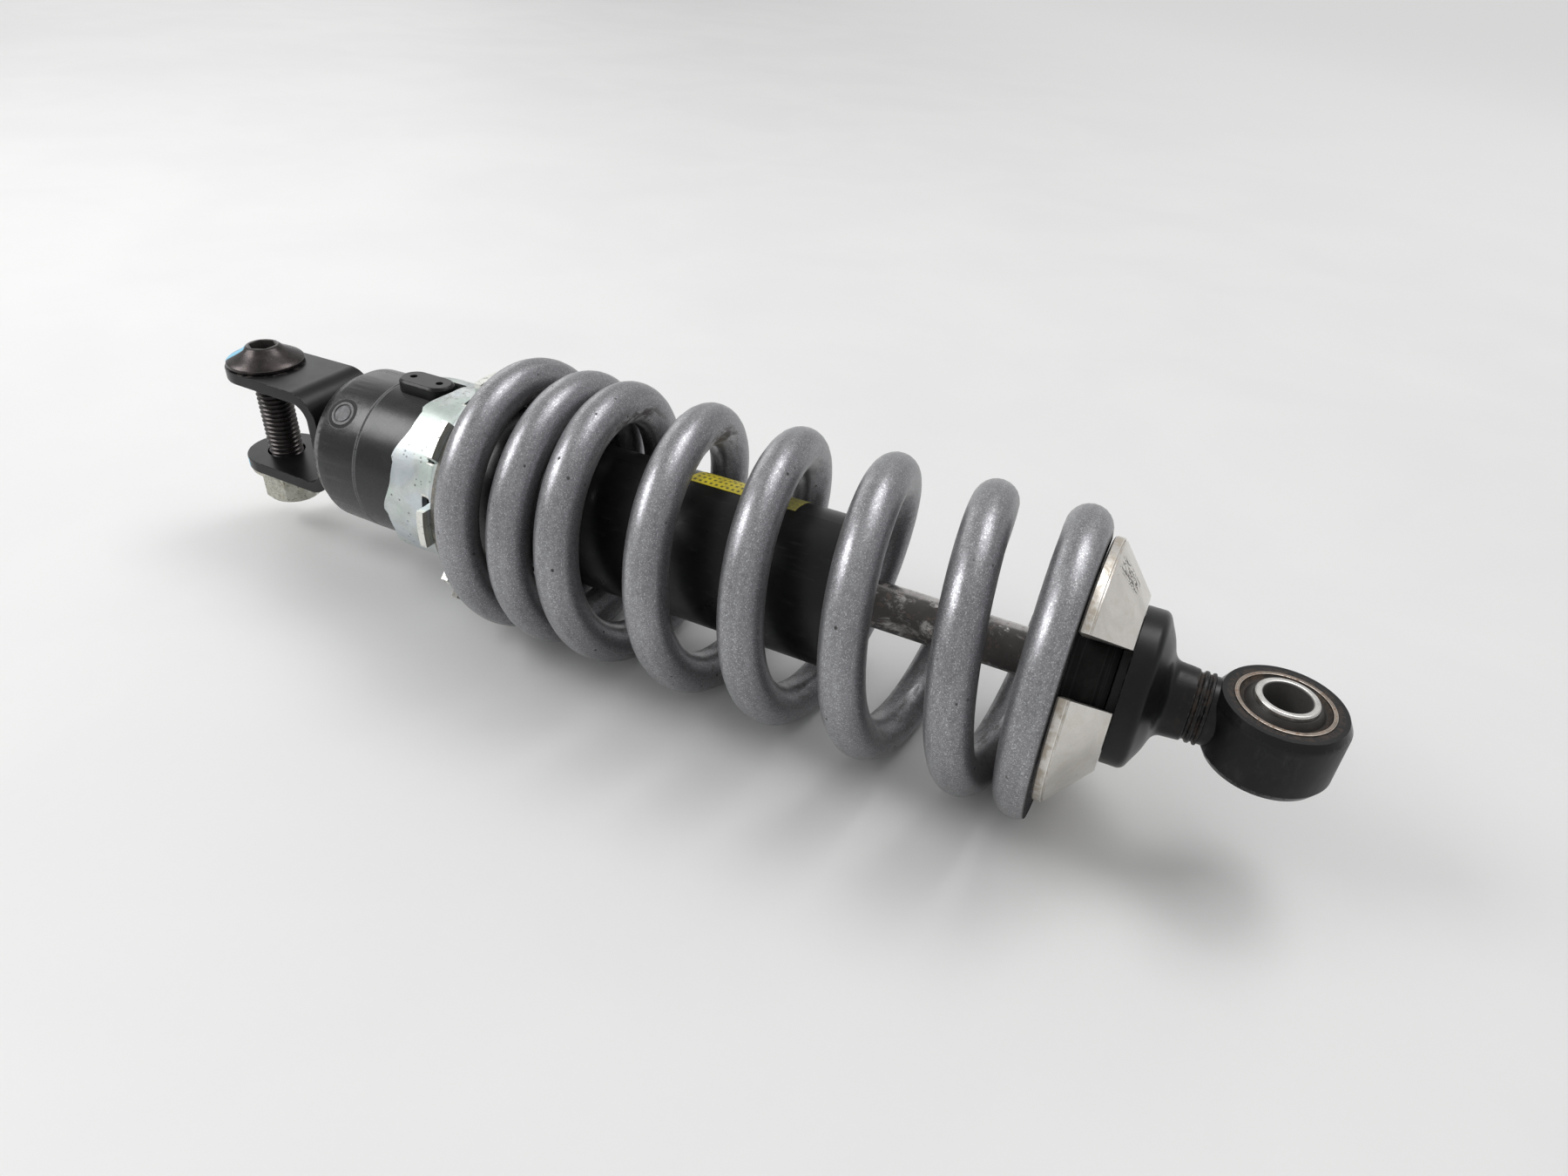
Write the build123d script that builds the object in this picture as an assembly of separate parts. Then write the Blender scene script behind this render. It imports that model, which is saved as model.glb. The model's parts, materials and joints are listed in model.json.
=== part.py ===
from build123d import *
import math
import os

# Rear shock absorber of the coil-over, single-tube type, lying on its side.
# Units are millimetres. X runs along the shock from the clevis (-X) to the eye (+X),
# Z is parallel to both pivot axes, and the origin is the centre of the eye's bore.

# ---------------------------------------------------------------- driving dimensions
PIVOT_SPAN = 350.0          # clevis pivot axis to eye axis, fully extended
STROKE = 56.5               # damper travel until the bump stop meets the tube end
STATIC_GAP = 0.1            # radial gap of pieces that are pressed or clamped together
RUN_GAP = 0.05              # radial gap of pieces that slide or turn in one another
FREE_GAP = 0.5              # radial gap of loose sliding pieces
SEAT_GAP = 0.2              # gap left at a seat of the spring

# pivot bolt and nut (M12)
BOLT_R = 5.95
BOLT_FLANGE_R = 13.0
BOLT_FLANGE_T = 2.0
BOLT_DOME_R = 10.6
BOLT_DOME_TOP_R = 6.2
BOLT_HEAD_H = 6.6
SOCKET_FLATS = 8.0
SOCKET_DEPTH = 4.2
NUT_FLATS = 18.0
NUT_H = 14.0
NUT_FLANGE_T = 2.6
THREAD_GAP = 0.05

# clevis bracket, bent from plate
CLEVIS_GAP = 30.6
PLATE_T = 4.2
EAR_R = 13.6
WEB_HALF_WIDTH = 14.2
PIVOT_TO_WEB = 36.0         # pivot axis to the web's outer face
BEND_INNER_R = 6.0
EAR_HOLE_GAP = 0.55
SHOULDER_R = 6.0
EAR_FLARE_SHARE = 0.55      # where the ear starts to widen, as a share of its reach

# end cap
CAP_BOSS_R = 13.0
CAP_BOSS_H = 4.0
CAP_FACE_R = 20.4
CAP_CHAMFER_R = 24.4
CAP_CHAMFER_L = 4.0
CAP_TAPER_L = 4.5
CAP_L = 24.0
CAP_FLOOR_T = 8.0
SEAM_R = 0.35
WELD_SIZE = 3.2
PLUG_R = 4.2
PLUG_DEPTH = 3.0
PLUG_FROM_FACE = 14.0
PLUG_ANGLE = 49.0

# stop collar and cam stops
COLLAR_R = 27.0
COLLAR_L = 56.0
STOP_FROM_PIVOT = 75.0
STOP_LENGTH = 20.0
STOP_WIDTH = 10.5
STOP_HEIGHT = 3.6
STOP_HOLE_R = 1.15
STOP_HOLE_DEPTH = 1.5
STOP_HOLE_SPAN = 10.8
STOP_ANGLE = 91.0

# damper tube
TUBE_R = 23.0
TUBE_BORE_R = 21.0
LABEL_T = 0.12
LABEL_L = 36.0
LABEL_SPAN = 34.0
LABEL_ANGLE = 106.0
LABEL_FROM_END = 20.0

# preload ring, pressed from sheet, and the washer under it
RING_T = 2.3
RING_RIM_R = 31.5
LUG_R = 38.0
LUG_T = 2.5
RING_BEND_R = 4.3
NOTCH_TO_FACE = 16.05       # first notch of the cam to the face under the washer
CAM_STEPS = 5
CAM_STEP_ANGLE = 36.0
CAM_RISE = 2.4
CAM_TOOTH = 1.0
CAM_NOTCH_HALF = 3.0        # half the width of a notch, in degrees
CAM_NOTCH_ANGLE = 9.5       # notch centre from the middle of its step
CAM_TIP_ANGLE = -14.5       # tip of the tooth from the middle of its step
CAM_GAP = 1.95              # stop to notch at the softest step
SLOT_COUNT = 8              # a lug stands at each spanner slot
SLOT_ANGLE = 1.5
SLOT_WIDTH = 12.4
SLOT_LENGTH = 4.9
SLOT_TO_LUG = 0.3
WASHER_T = 2.4
WASHER_R = 35.0
TAB_R = 41.3
TAB_WIDTH = 9.0
TAB_ANGLE = -48.0

# coil spring, right-handed, ends closed and ground flat
WIRE_D = 13.0
SPRING_MEAN_R = 38.15
TURN_FIRST = 0.55
TURN_CLOSED = 1.0
TURN_OPEN_END = 8.0
TURN_LAST = 8.72
END_GRIND = 3.4
END_GRIND_FIRST = 0.7
END_LIFT_FIRST = 1.4        # rise of the first part turn
END_LIFT_LAST = 2.3         # rise of the last turn
# share of the free space between coils that lies before each turn
GAP_SHARES = (
    (1.0, 0.0), (1.25, 0.003), (1.5, 0.04), (2.0, 0.074), (2.5, 0.078), (3.0, 0.084),
    (3.5, 0.175), (4.0, 0.277), (5.0, 0.471), (6.0, 0.664), (7.0, 0.855), (7.5, 0.95), (8.0, 1.0),
)
POINTS_PER_TURN = 12

# rod and piston
ROD_R = 7.0
SPIGOT_R = 5.0
PISTON_R = 20.5
PISTON_L = 14.0
PORT_R = 1.7
PORT_COUNT = 6
PORT_PITCH_R = 13.0
BAND_T = 1.5
BAND_L = 7.0
SHIM_T = 0.4
SHIM_RADII = (17.5, 15.5, 13.0, 10.5)
ROD_WASHER_T = 2.0
ROD_WASHER_R = 9.5
TOP_OUT_T = 5.0
TOP_OUT_R = 12.0
PISTON_NUT_H = 7.0
PISTON_NUT_FLATS = 17.0
ROD_TIP = 1.6

# rod guide
GUIDE_L = 20.0
BUSHING_T = 1.5
BUSHING_L = 10.0
SEAL_R = 13.0
SEAL_T = 4.6
WIPER_T = 3.2
GUIDE_GROOVE_AT = 6.0       # guide's inner face to the O-ring groove
GUIDE_RECESS = 1.9          # guide face to the tube's end
CLIP_T = 1.2
CLIP_INNER_R = 18.2
CLIP_BITE = 0.6
CORD_R = 1.3                # section radius of the O-rings

# floating piston
FLOATING_L = 14.0
FLOATING_WALL = 4.0
FLOATING_GROOVE_AT = 4.6    # face to the O-ring groove
FLOATING_CLEARANCE = 6.0    # to the rod's tip at full stroke

# bump stop, spring seat and bell bracket, measured from the eye's axis
SEAT_FACE_TO_EYE = 52.0
SEAT_FLANGE_R = 37.9
SEAT_FLANGE_T = 2.7
SEAT_GROOVE = 0.5
SEAT_CONE_R = 37.4
SEAT_CONE_END_R = 24.9
SEAT_L = 13.3
SEAT_BORE_R = 17.0
SEAT_SLOT_W = 16.6
SEAT_SLOT_ANGLE = 36.5
SPIGOT_LIP_R = 19.0
SPIGOT_LIP_L = 2.3
BUMP_R = 16.0
BUMP_L = 21.0
BUMP_WAIST = 1.4
BELL_R = 22.3
BELL_RIM_L = 4.7
NECK_R = 10.0
BELL_CURVE_L = 8.0
NECK_L = 9.0
NECK_GROOVE = 0.7
ROD_SOCKET_L = 12.0

# eye and bush
EYE_R = 16.8
EYE_TOP_R = 15.4
EYE_HALF_H = 9.7
EYE_CHAMFER_H = 2.6
EYE_STUB_R = 6.0
EYE_STUB_L = 7.0
BUSH_R = 12.5
BUSH_T = 1.2
BUSH_HALF_H = 10.0
RUBBER_HALF_H = 10.4
SLEEVE_R = 8.0
SLEEVE_BORE_R = 6.05
SLEEVE_HALF_H = 11.8
EDGE = 0.4                  # small chamfer of machined edges

# ---------------------------------------------------------------- places along the shock
CLEVIS_X = -PIVOT_SPAN
WEB_X = CLEVIS_X + PIVOT_TO_WEB
CAP_FACE_X = WEB_X + CAP_BOSS_H
CAP_END_X = CAP_FACE_X + CAP_L
COLLAR_END_X = CAP_END_X + COLLAR_L
TUBE_START_X = CAP_FACE_X + CAP_FLOOR_T
SEAT_FACE_X = -SEAT_FACE_TO_EYE
BELL_X = SEAT_FACE_X + SEAT_L + STATIC_GAP
LIP_X = BELL_X - SPIGOT_LIP_L
BUMP_END_X = LIP_X - STATIC_GAP
BUMP_START_X = BUMP_END_X - BUMP_L
TUBE_END_X = BUMP_START_X - STROKE - FREE_GAP
GUIDE_END_X = TUBE_END_X - GUIDE_RECESS
GUIDE_START_X = GUIDE_END_X - GUIDE_L
TOP_OUT_END_X = GUIDE_START_X - FREE_GAP
ROD_SHOULDER_X = TOP_OUT_END_X - TOP_OUT_T
REBOUND_SHIM_X = ROD_SHOULDER_X - ROD_WASHER_T
SHIM_STACK = SHIM_T * len(SHIM_RADII)
PISTON_END_X = REBOUND_SHIM_X - SHIM_STACK
PISTON_START_X = PISTON_END_X - PISTON_L
COMPRESSION_SHIM_X = PISTON_START_X - SHIM_STACK
PISTON_NUT_X = COMPRESSION_SHIM_X - PISTON_NUT_H
ROD_TIP_X = PISTON_NUT_X - ROD_TIP
FLOATING_END_X = ROD_TIP_X - STROKE - FLOATING_CLEARANCE
NECK_END_X = BELL_X + BELL_RIM_L + BELL_CURVE_L + NECK_L
STOP_X = CLEVIS_X + STOP_FROM_PIVOT
RING_SLEEVE_R = COLLAR_R + FREE_GAP
RING_R = RING_SLEEVE_R + RING_T
NOTCH_X = STOP_X + STOP_LENGTH / 2 + CAM_GAP
RING_FACE_X = NOTCH_X + NOTCH_TO_FACE
WASHER_FACE_X = RING_FACE_X + STATIC_GAP + WASHER_T
SPRING_START_X = WASHER_FACE_X + SEAT_GAP
SPRING_END_X = SEAT_FACE_X - SEAT_GAP
EAR_OUTER = CLEVIS_GAP / 2 + PLATE_T


# ---------------------------------------------------------------- helpers
def turned(points):
    """Solid of revolution about the X axis from (x, radius) points."""
    profile = make_face(Plane.XZ * Polyline(*points, close=True))
    return revolve(profile, Axis.X, 360)


def bored(outer, inner, start, end):
    """Plain ring about the X axis."""
    return turned([(start, inner), (end, inner), (end, outer), (start, outer)])


def upright(points, x=0.0):
    """Solid of revolution about a vertical axis at x, from (radius, z) points."""
    profile = make_face(Plane.XZ * Polyline(*points, close=True))
    return Pos(x, 0, 0) * revolve(profile, Axis.Z, 360)


def at_angle(shape, angle):
    """Turn a shape made on the +Z side to an angle that is counted from -Y towards +Z."""
    return Rot(90 - angle, 0, 0) * shape


def export(shape, node):
    """Write one node's solids to its STEP file."""
    shape.label = node
    export_step(shape, f"parts/{node}.step")


# ---------------------------------------------------------------- clevis end
def ear_outline():
    """Plan view of one ear with its web shoulder, as a face on the XY plane."""
    circle = Pos(CLEVIS_X, 0) * Circle(EAR_R)
    reach = PIVOT_TO_WEB - SHOULDER_R
    flank = make_face(
        Polyline(
            (CLEVIS_X, -EAR_R),
            (CLEVIS_X + EAR_FLARE_SHARE * reach, -EAR_R - 0.3),
            (CLEVIS_X + reach, -WEB_HALF_WIDTH),
            (WEB_X, -WEB_HALF_WIDTH),
            (WEB_X, WEB_HALF_WIDTH),
            (CLEVIS_X + reach, WEB_HALF_WIDTH),
            (CLEVIS_X + EAR_FLARE_SHARE * reach, EAR_R + 0.3),
            (CLEVIS_X, EAR_R),
            close=True,
        )
    )
    return circle + flank


def clevis_bracket():
    """U-shaped bracket: two ears joined by a web through rounded bends."""
    block = extrude(ear_outline(), EAR_OUTER, both=True)
    outer_r = BEND_INNER_R + PLATE_T
    side = Pos((CLEVIS_X + WEB_X) / 2 - EAR_R, 0) * Rectangle(PIVOT_TO_WEB + 2 * EAR_R, 2 * EAR_OUTER)
    corners = [v for v in side.vertices() if abs(v.X - side.bounding_box().max.X) < 1e-6]
    side = Pos(WEB_X - side.bounding_box().max.X, 0) * fillet(corners, outer_r)
    envelope = extrude(Plane.XZ * side, WEB_HALF_WIDTH + 1, both=True)
    gap = Rectangle(2 * PIVOT_TO_WEB + 2 * EAR_R, CLEVIS_GAP)
    ends = [v for v in gap.vertices() if v.X > 0]
    gap = Pos(WEB_X - PLATE_T - gap.bounding_box().max.X, 0) * fillet(ends, BEND_INNER_R)
    hollow = extrude(Plane.XZ * gap, WEB_HALF_WIDTH + 1, both=True)
    hole = Pos(CLEVIS_X, 0, 0) * Cylinder(BOLT_R + EAR_HOLE_GAP, 2 * EAR_OUTER + 2)
    return (block & envelope) - hollow - hole


def pivot_bolt():
    """Flanged button-head bolt through both ears."""
    z = EAR_OUTER
    tip = -EAR_OUTER - NUT_H - 1.0
    head_top = z + BOLT_HEAD_H
    body = upright(
        [
            (0, tip), (BOLT_R - 1.0, tip), (BOLT_R, tip + 1.0), (BOLT_R, z), (BOLT_FLANGE_R, z),
            (BOLT_FLANGE_R, z + BOLT_FLANGE_T - EDGE), (BOLT_FLANGE_R - EDGE, z + BOLT_FLANGE_T),
            (BOLT_DOME_R, z + BOLT_FLANGE_T + 0.3), (BOLT_DOME_TOP_R + 2.0, head_top - 1.6),
            (BOLT_DOME_TOP_R, head_top), (0, head_top),
        ],
        CLEVIS_X,
    )
    hexagon = RegularPolygon(SOCKET_FLATS / 2, 6, major_radius=False)
    socket = Pos(CLEVIS_X, 0, head_top - SOCKET_DEPTH) * extrude(hexagon, SOCKET_DEPTH + 1)
    return body - socket


def flange_nut():
    """Hexagon nut with a flange, under the lower ear."""
    top = -EAR_OUTER
    hexagon = extrude(RegularPolygon(NUT_FLATS / 2, 6, major_radius=False), NUT_H)
    corner_r = NUT_FLATS / math.sqrt(3)
    crown = upright(
        [(0, 0), (NUT_FLATS / 2, 0), (corner_r + 0.2, 1.4), (corner_r + 0.2, NUT_H), (0, NUT_H)]
    )
    flange = upright(
        [
            (0, NUT_H - NUT_FLANGE_T - 2.0), (corner_r - 1.2, NUT_H - NUT_FLANGE_T - 2.0),
            (BOLT_FLANGE_R, NUT_H - NUT_FLANGE_T + 1.0), (BOLT_FLANGE_R, NUT_H), (0, NUT_H),
        ]
    )
    hole = Cylinder(BOLT_R + THREAD_GAP, 3 * NUT_H)
    return Pos(CLEVIS_X, 0, top - NUT_H) * ((hexagon & crown) + flange - hole)


# ---------------------------------------------------------------- body of the damper
def end_cap():
    """Closed cap of the damper with a chamfered end and a boss for the bracket."""
    chamfer_x = CAP_FACE_X + CAP_CHAMFER_L
    taper_x = chamfer_x + CAP_TAPER_L
    cap = turned(
        [
            (WEB_X, 0), (WEB_X, CAP_BOSS_R), (CAP_FACE_X, CAP_BOSS_R), (CAP_FACE_X, CAP_FACE_R),
            (chamfer_x, CAP_CHAMFER_R), (taper_x, COLLAR_R - 0.3), (CAP_END_X - SEAM_R, COLLAR_R),
            (CAP_END_X, COLLAR_R - SEAM_R), (CAP_END_X, TUBE_R + STATIC_GAP),
            (TUBE_START_X, TUBE_R + STATIC_GAP), (TUBE_START_X, 0),
        ]
    )
    pocket = Pos(CAP_FACE_X + PLUG_FROM_FACE, 0, TUBE_R + STATIC_GAP + PLUG_DEPTH)
    return cap - at_angle(pocket * Cylinder(PLUG_R + STATIC_GAP, 2 * PLUG_DEPTH - 0.8), PLUG_ANGLE)


def charge_plug():
    """Round plug that closes the gas charging hole, flush with the cap."""
    bottom = TUBE_R + STATIC_GAP + 0.5
    top = COLLAR_R - 0.25
    plug = Cylinder(PLUG_R, top - bottom, align=(Align.CENTER, Align.CENTER, Align.MIN))
    groove = Cylinder(PLUG_R - 0.9, 1) - Cylinder(PLUG_R - 1.4, 1)
    plug = plug - Pos(0, 0, top - bottom) * groove
    return at_angle(Pos(CAP_FACE_X + PLUG_FROM_FACE, 0, bottom) * plug, PLUG_ANGLE)


def weld_bead():
    """Fillet weld round the boss, between the bracket's web and the cap."""
    inner = CAP_BOSS_R + STATIC_GAP
    middle = inner + 0.62 * WELD_SIZE
    return turned(
        [(WEB_X, inner), (CAP_FACE_X, inner), (CAP_FACE_X, inner + WELD_SIZE),
         (WEB_X + 0.5 * CAP_BOSS_H, middle), (WEB_X, inner + WELD_SIZE)]
    )


def stop_collar():
    """Collar round the tube that carries the cam stops and guides the preload ring."""
    inner = TUBE_R + STATIC_GAP
    return turned(
        [
            (CAP_END_X, inner), (COLLAR_END_X, inner), (COLLAR_END_X, COLLAR_R - 1.0),
            (COLLAR_END_X - 1.0, COLLAR_R), (CAP_END_X + SEAM_R, COLLAR_R),
            (CAP_END_X, COLLAR_R - SEAM_R),
        ]
    )


def cam_stop():
    """One oval stop pad with two small blind holes, on the +Z side."""
    outline = SlotOverall(STOP_LENGTH, STOP_WIDTH)
    pad = extrude(outline, COLLAR_R + STOP_HEIGHT)
    rim = pad.edges().group_by(Axis.Z)[-1]
    pad = chamfer(rim, 0.8) - Rot(0, 90, 0) * Cylinder(COLLAR_R, 2 * STOP_LENGTH)
    holes = [
        Pos(side * STOP_HOLE_SPAN / 2, 0, COLLAR_R + STOP_HEIGHT) * Cylinder(STOP_HOLE_R, 2 * STOP_HOLE_DEPTH)
        for side in (-1, 1)
    ]
    return Pos(STOP_X, 0, 0) * (pad - holes)


def cam_stops():
    """Both stop pads, opposite each other."""
    return Compound([at_angle(cam_stop(), STOP_ANGLE + turn) for turn in (0, 180)])


def damper_tube():
    """Long tube that holds the oil, the gas and both pistons."""
    clip_r = TUBE_BORE_R + CLIP_BITE
    clip_x = GUIDE_END_X + RUN_GAP
    return turned(
        [
            (TUBE_START_X, TUBE_BORE_R), (clip_x, TUBE_BORE_R), (clip_x, clip_r),
            (clip_x + CLIP_T + 0.1, clip_r), (clip_x + CLIP_T + 0.1, TUBE_BORE_R),
            (TUBE_END_X, TUBE_BORE_R), (TUBE_END_X, TUBE_R - EDGE), (TUBE_END_X - EDGE, TUBE_R),
            (TUBE_START_X, TUBE_R),
        ]
    )


def tube_label():
    """Plain foil label on the tube, without any print."""
    end = TUBE_END_X - LABEL_FROM_END
    profile = make_face(
        Plane.XZ * Polyline(
            (end - LABEL_L, TUBE_R), (end, TUBE_R), (end, TUBE_R + LABEL_T),
            (end - LABEL_L, TUBE_R + LABEL_T), close=True,
        )
    )
    patch = revolve(profile, Axis.X, LABEL_SPAN)
    return at_angle(Rot(-LABEL_SPAN / 2, 0, 0) * patch, LABEL_ANGLE)


# ---------------------------------------------------------------- preload adjuster
def cam_cut(step):
    """Prism that cuts one step of the cam's edge, made round the +Z axis.

    The edge leaves its notch along an easy ramp and drops at the tooth into the next
    notch. Each point is an angle on the sleeve's middle radius, seen from above.
    """
    radius = RING_SLEEVE_R + RING_T / 2
    half = CAM_STEP_ANGLE / 2
    notch = NOTCH_X - step * CAM_RISE
    next_notch = notch - CAM_RISE
    tip = next_notch - CAM_TOOTH
    low = CAP_END_X
    notch_end = CAM_NOTCH_ANGLE - CAM_NOTCH_HALF

    def across(angle):
        return radius * math.sin(math.radians(angle))

    wall = RING_R * math.tan(math.radians(half)) + RUN_GAP
    if step == 0:
        wall = across(CAM_NOTCH_ANGLE) + STOP_WIDTH / 2 + FREE_GAP
    ramp = Spline(
        (notch, across(notch_end)), ((notch + tip) / 2, across((notch_end + CAM_TIP_ANGLE) / 2)),
        (tip, across(CAM_TIP_ANGLE)), tangents=((-0.2, -1, 0), (-0.1, -1, 0)),
    )
    start = Polyline((low, across(-half)), (low, wall), (notch, wall), (notch, across(notch_end)))
    drop = Polyline((tip, across(CAM_TIP_ANGLE)), (next_notch, across(-half)), (low, across(-half)))
    face = make_face(Wire([*start.edges(), *ramp.edges(), *drop.edges()]))
    return Pos(0, 0, COLLAR_R / 2) * extrude(face, RING_R)


def preload_ring():
    """Sheet ring with a stepped cam edge, spanner slots and a lug behind each slot."""
    flange_x = RING_FACE_X - LUG_T
    start = NOTCH_X - CAM_STEPS * CAM_RISE - 2 * CAM_TOOTH
    shell = make_face(
        Plane.XZ * Polyline(
            (start, RING_SLEEVE_R), (RING_FACE_X, RING_SLEEVE_R), (RING_FACE_X, LUG_R),
            (flange_x, LUG_R), (flange_x, RING_R), (start, RING_R), close=True,
        )
    )
    inner = [v for v in shell.vertices() if abs(v.X - RING_FACE_X) < 1e-6 and v.Z < RING_R]
    shell = fillet(inner, RING_BEND_R - RING_T)
    corner = [v for v in shell.vertices() if abs(v.X - flange_x) < 1e-6 and v.Z < RING_R + 1e-6]
    shell = fillet(corner, RING_BEND_R)
    ring = revolve(shell, Axis.X, 360)
    for half in (0, 180):
        for step in range(CAM_STEPS):
            angle = STOP_ANGLE - CAM_NOTCH_ANGLE - step * CAM_STEP_ANGLE + half
            ring = ring - at_angle(cam_cut(step), angle)
    sectors = [SLOT_ANGLE + index * 360 / SLOT_COUNT for index in range(SLOT_COUNT)]
    rim = bored(RING_RIM_R, 0, start - 1, RING_FACE_X + 1)
    lug = Pos(flange_x, 0, LUG_R / 2 + 1) * Box(4 * LUG_T, SLOT_WIDTH, LUG_R + 2)
    ring = ring & (rim + [at_angle(lug, angle) for angle in sectors])
    slot = Pos(flange_x - SLOT_TO_LUG - SLOT_LENGTH / 2, 0, RING_R + 1) * Box(SLOT_LENGTH, SLOT_WIDTH, 10)
    for angle in sectors:
        ring = ring - at_angle(slot, angle)
    return ring


def seat_washer():
    """Washer between the ring and the spring, with two small tabs."""
    start = RING_FACE_X + STATIC_GAP
    disc = bored(WASHER_R, RING_SLEEVE_R, start, start + WASHER_T)
    tab = Pos(start + WASHER_T / 2, 0, (TAB_R + WASHER_R - 3) / 2) * Box(
        WASHER_T, TAB_WIDTH, TAB_R - WASHER_R + 3
    )
    return disc + at_angle(tab, TAB_ANGLE) + at_angle(tab, TAB_ANGLE + 180)


# ---------------------------------------------------------------- spring
def gap_share(turn):
    """Share of the free space before a turn, eased between its stations."""
    last = GAP_SHARES[-1]
    if turn >= last[0]:
        return last[1]
    for (a, low), (b, high) in zip(GAP_SHARES, GAP_SHARES[1:]):
        if turn <= b:
            return low + (high - low) * max(0.0, turn - a) / (b - a)
    return last[1]


def smooth_share(turn):
    """The same share, averaged over half a turn so that the coil has no kinks."""
    samples = [gap_share(turn + offset / 16) for offset in range(-3, 4)]
    return sum(samples) / len(samples)


def coil_x(turn):
    """Place of the wire's centre along the shock at a turn."""
    first = SPRING_START_X + WIRE_D / 2 - END_GRIND_FIRST + END_LIFT_FIRST
    last = SPRING_END_X - WIRE_D / 2 + END_GRIND
    free = last - END_LIFT_LAST - first - WIRE_D * (TURN_OPEN_END - TURN_CLOSED)
    stacked = min(max(turn, TURN_CLOSED), TURN_OPEN_END) - TURN_CLOSED
    x = first + WIRE_D * stacked + free * smooth_share(turn)
    if turn < TURN_CLOSED:
        x -= END_LIFT_FIRST * (TURN_CLOSED - turn) / (TURN_CLOSED - TURN_FIRST)
    if turn > TURN_OPEN_END:
        x += END_LIFT_LAST * math.sin(math.pi / 2 * min(1.0, (turn - TURN_OPEN_END) / 0.5))
    return x


def coil_point(turn):
    """Centre of the wire at a turn; whole turns are at the top, and the front comes next."""
    angle = 2 * math.pi * turn
    return Vector(coil_x(turn), -SPRING_MEAN_R * math.sin(angle), SPRING_MEAN_R * math.cos(angle))


def coil_spring():
    """Right-handed coil spring with two close coils and ground ends."""
    count = round((TURN_LAST - TURN_FIRST) * POINTS_PER_TURN)
    step = (TURN_LAST - TURN_FIRST) / count
    path = Spline(*[coil_point(TURN_FIRST + index * step) for index in range(count + 1)])
    section = Plane(path @ 0, z_dir=path % 0) * Circle(WIRE_D / 2)
    coil = sweep(section, path=path, is_frenet=True)
    reach = 2 * (SPRING_MEAN_R + WIRE_D)
    for x, side in ((SPRING_START_X, -1), (SPRING_END_X, 1)):
        coil = coil - Pos(x + side * WIRE_D / 2, 0, 0) * Box(WIRE_D, reach, reach)
    return coil


# ---------------------------------------------------------------- rod side
def piston_rod():
    """Chromed rod with a thinner end for the piston."""
    end = BELL_X + ROD_SOCKET_L - STATIC_GAP
    return turned(
        [
            (ROD_TIP_X, 0), (ROD_TIP_X, SPIGOT_R - 0.8), (ROD_TIP_X + 0.8, SPIGOT_R),
            (ROD_SHOULDER_X, SPIGOT_R), (ROD_SHOULDER_X, ROD_R - EDGE),
            (ROD_SHOULDER_X + EDGE, ROD_R), (end - 1, ROD_R), (end, ROD_R - 1), (end, 0),
        ]
    )


def shim_stack(start, direction):
    """Stack of thin valve discs, widest next to the piston."""
    discs = []
    for index, radius in enumerate(SHIM_RADII):
        near = start + direction * index * SHIM_T
        low = min(near, near + direction * SHIM_T)
        discs.append(bored(radius, SPIGOT_R + RUN_GAP, low, low + SHIM_T))
    return Compound(discs)


def piston():
    """Damper piston with a groove for its band and six oil ports."""
    groove = (PISTON_L - BAND_L) / 2
    bore = SPIGOT_R + RUN_GAP
    body = turned(
        [
            (PISTON_START_X, bore), (PISTON_END_X, bore), (PISTON_END_X, PISTON_R),
            (PISTON_END_X - groove, PISTON_R), (PISTON_END_X - groove, PISTON_R - BAND_T),
            (PISTON_START_X + groove, PISTON_R - BAND_T), (PISTON_START_X + groove, PISTON_R),
            (PISTON_START_X, PISTON_R),
        ]
    )
    middle = (PISTON_START_X + PISTON_END_X) / 2
    port = Pos(middle, 0, PORT_PITCH_R) * Rot(0, 90, 0) * Cylinder(PORT_R, PISTON_L + 2)
    return body - [Rot(index * 360 / PORT_COUNT, 0, 0) * port for index in range(PORT_COUNT)]


def piston_band():
    """Low-friction band round the piston."""
    middle = (PISTON_START_X + PISTON_END_X) / 2
    half = BAND_L / 2 - RUN_GAP
    return bored(TUBE_BORE_R - RUN_GAP, PISTON_R - BAND_T + STATIC_GAP, middle - half, middle + half)


def piston_nut():
    """Nut that clamps the piston and its shims."""
    hexagon = Plane.YZ * RegularPolygon(PISTON_NUT_FLATS / 2, 6, major_radius=False)
    nut = Pos(PISTON_NUT_X, 0, 0) * extrude(hexagon, PISTON_NUT_H)
    return nut - Pos(PISTON_NUT_X, 0, 0) * Rot(0, 90, 0) * Cylinder(SPIGOT_R + THREAD_GAP, 40)


def bump_stop():
    """Rubber bump stop on the rod, with a shallow waist."""
    middle = (BUMP_START_X + BUMP_END_X) / 2
    hole = ROD_R + STATIC_GAP
    return turned(
        [
            (BUMP_START_X, hole), (BUMP_END_X, hole), (BUMP_END_X, BUMP_R),
            (middle + 2.2, BUMP_R), (middle + 0.8, BUMP_R - BUMP_WAIST),
            (middle - 0.8, BUMP_R - BUMP_WAIST), (middle - 2.2, BUMP_R),
            (BUMP_START_X + 3.0, BUMP_R), (BUMP_START_X, BUMP_R - 3.0),
        ]
    )


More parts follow.
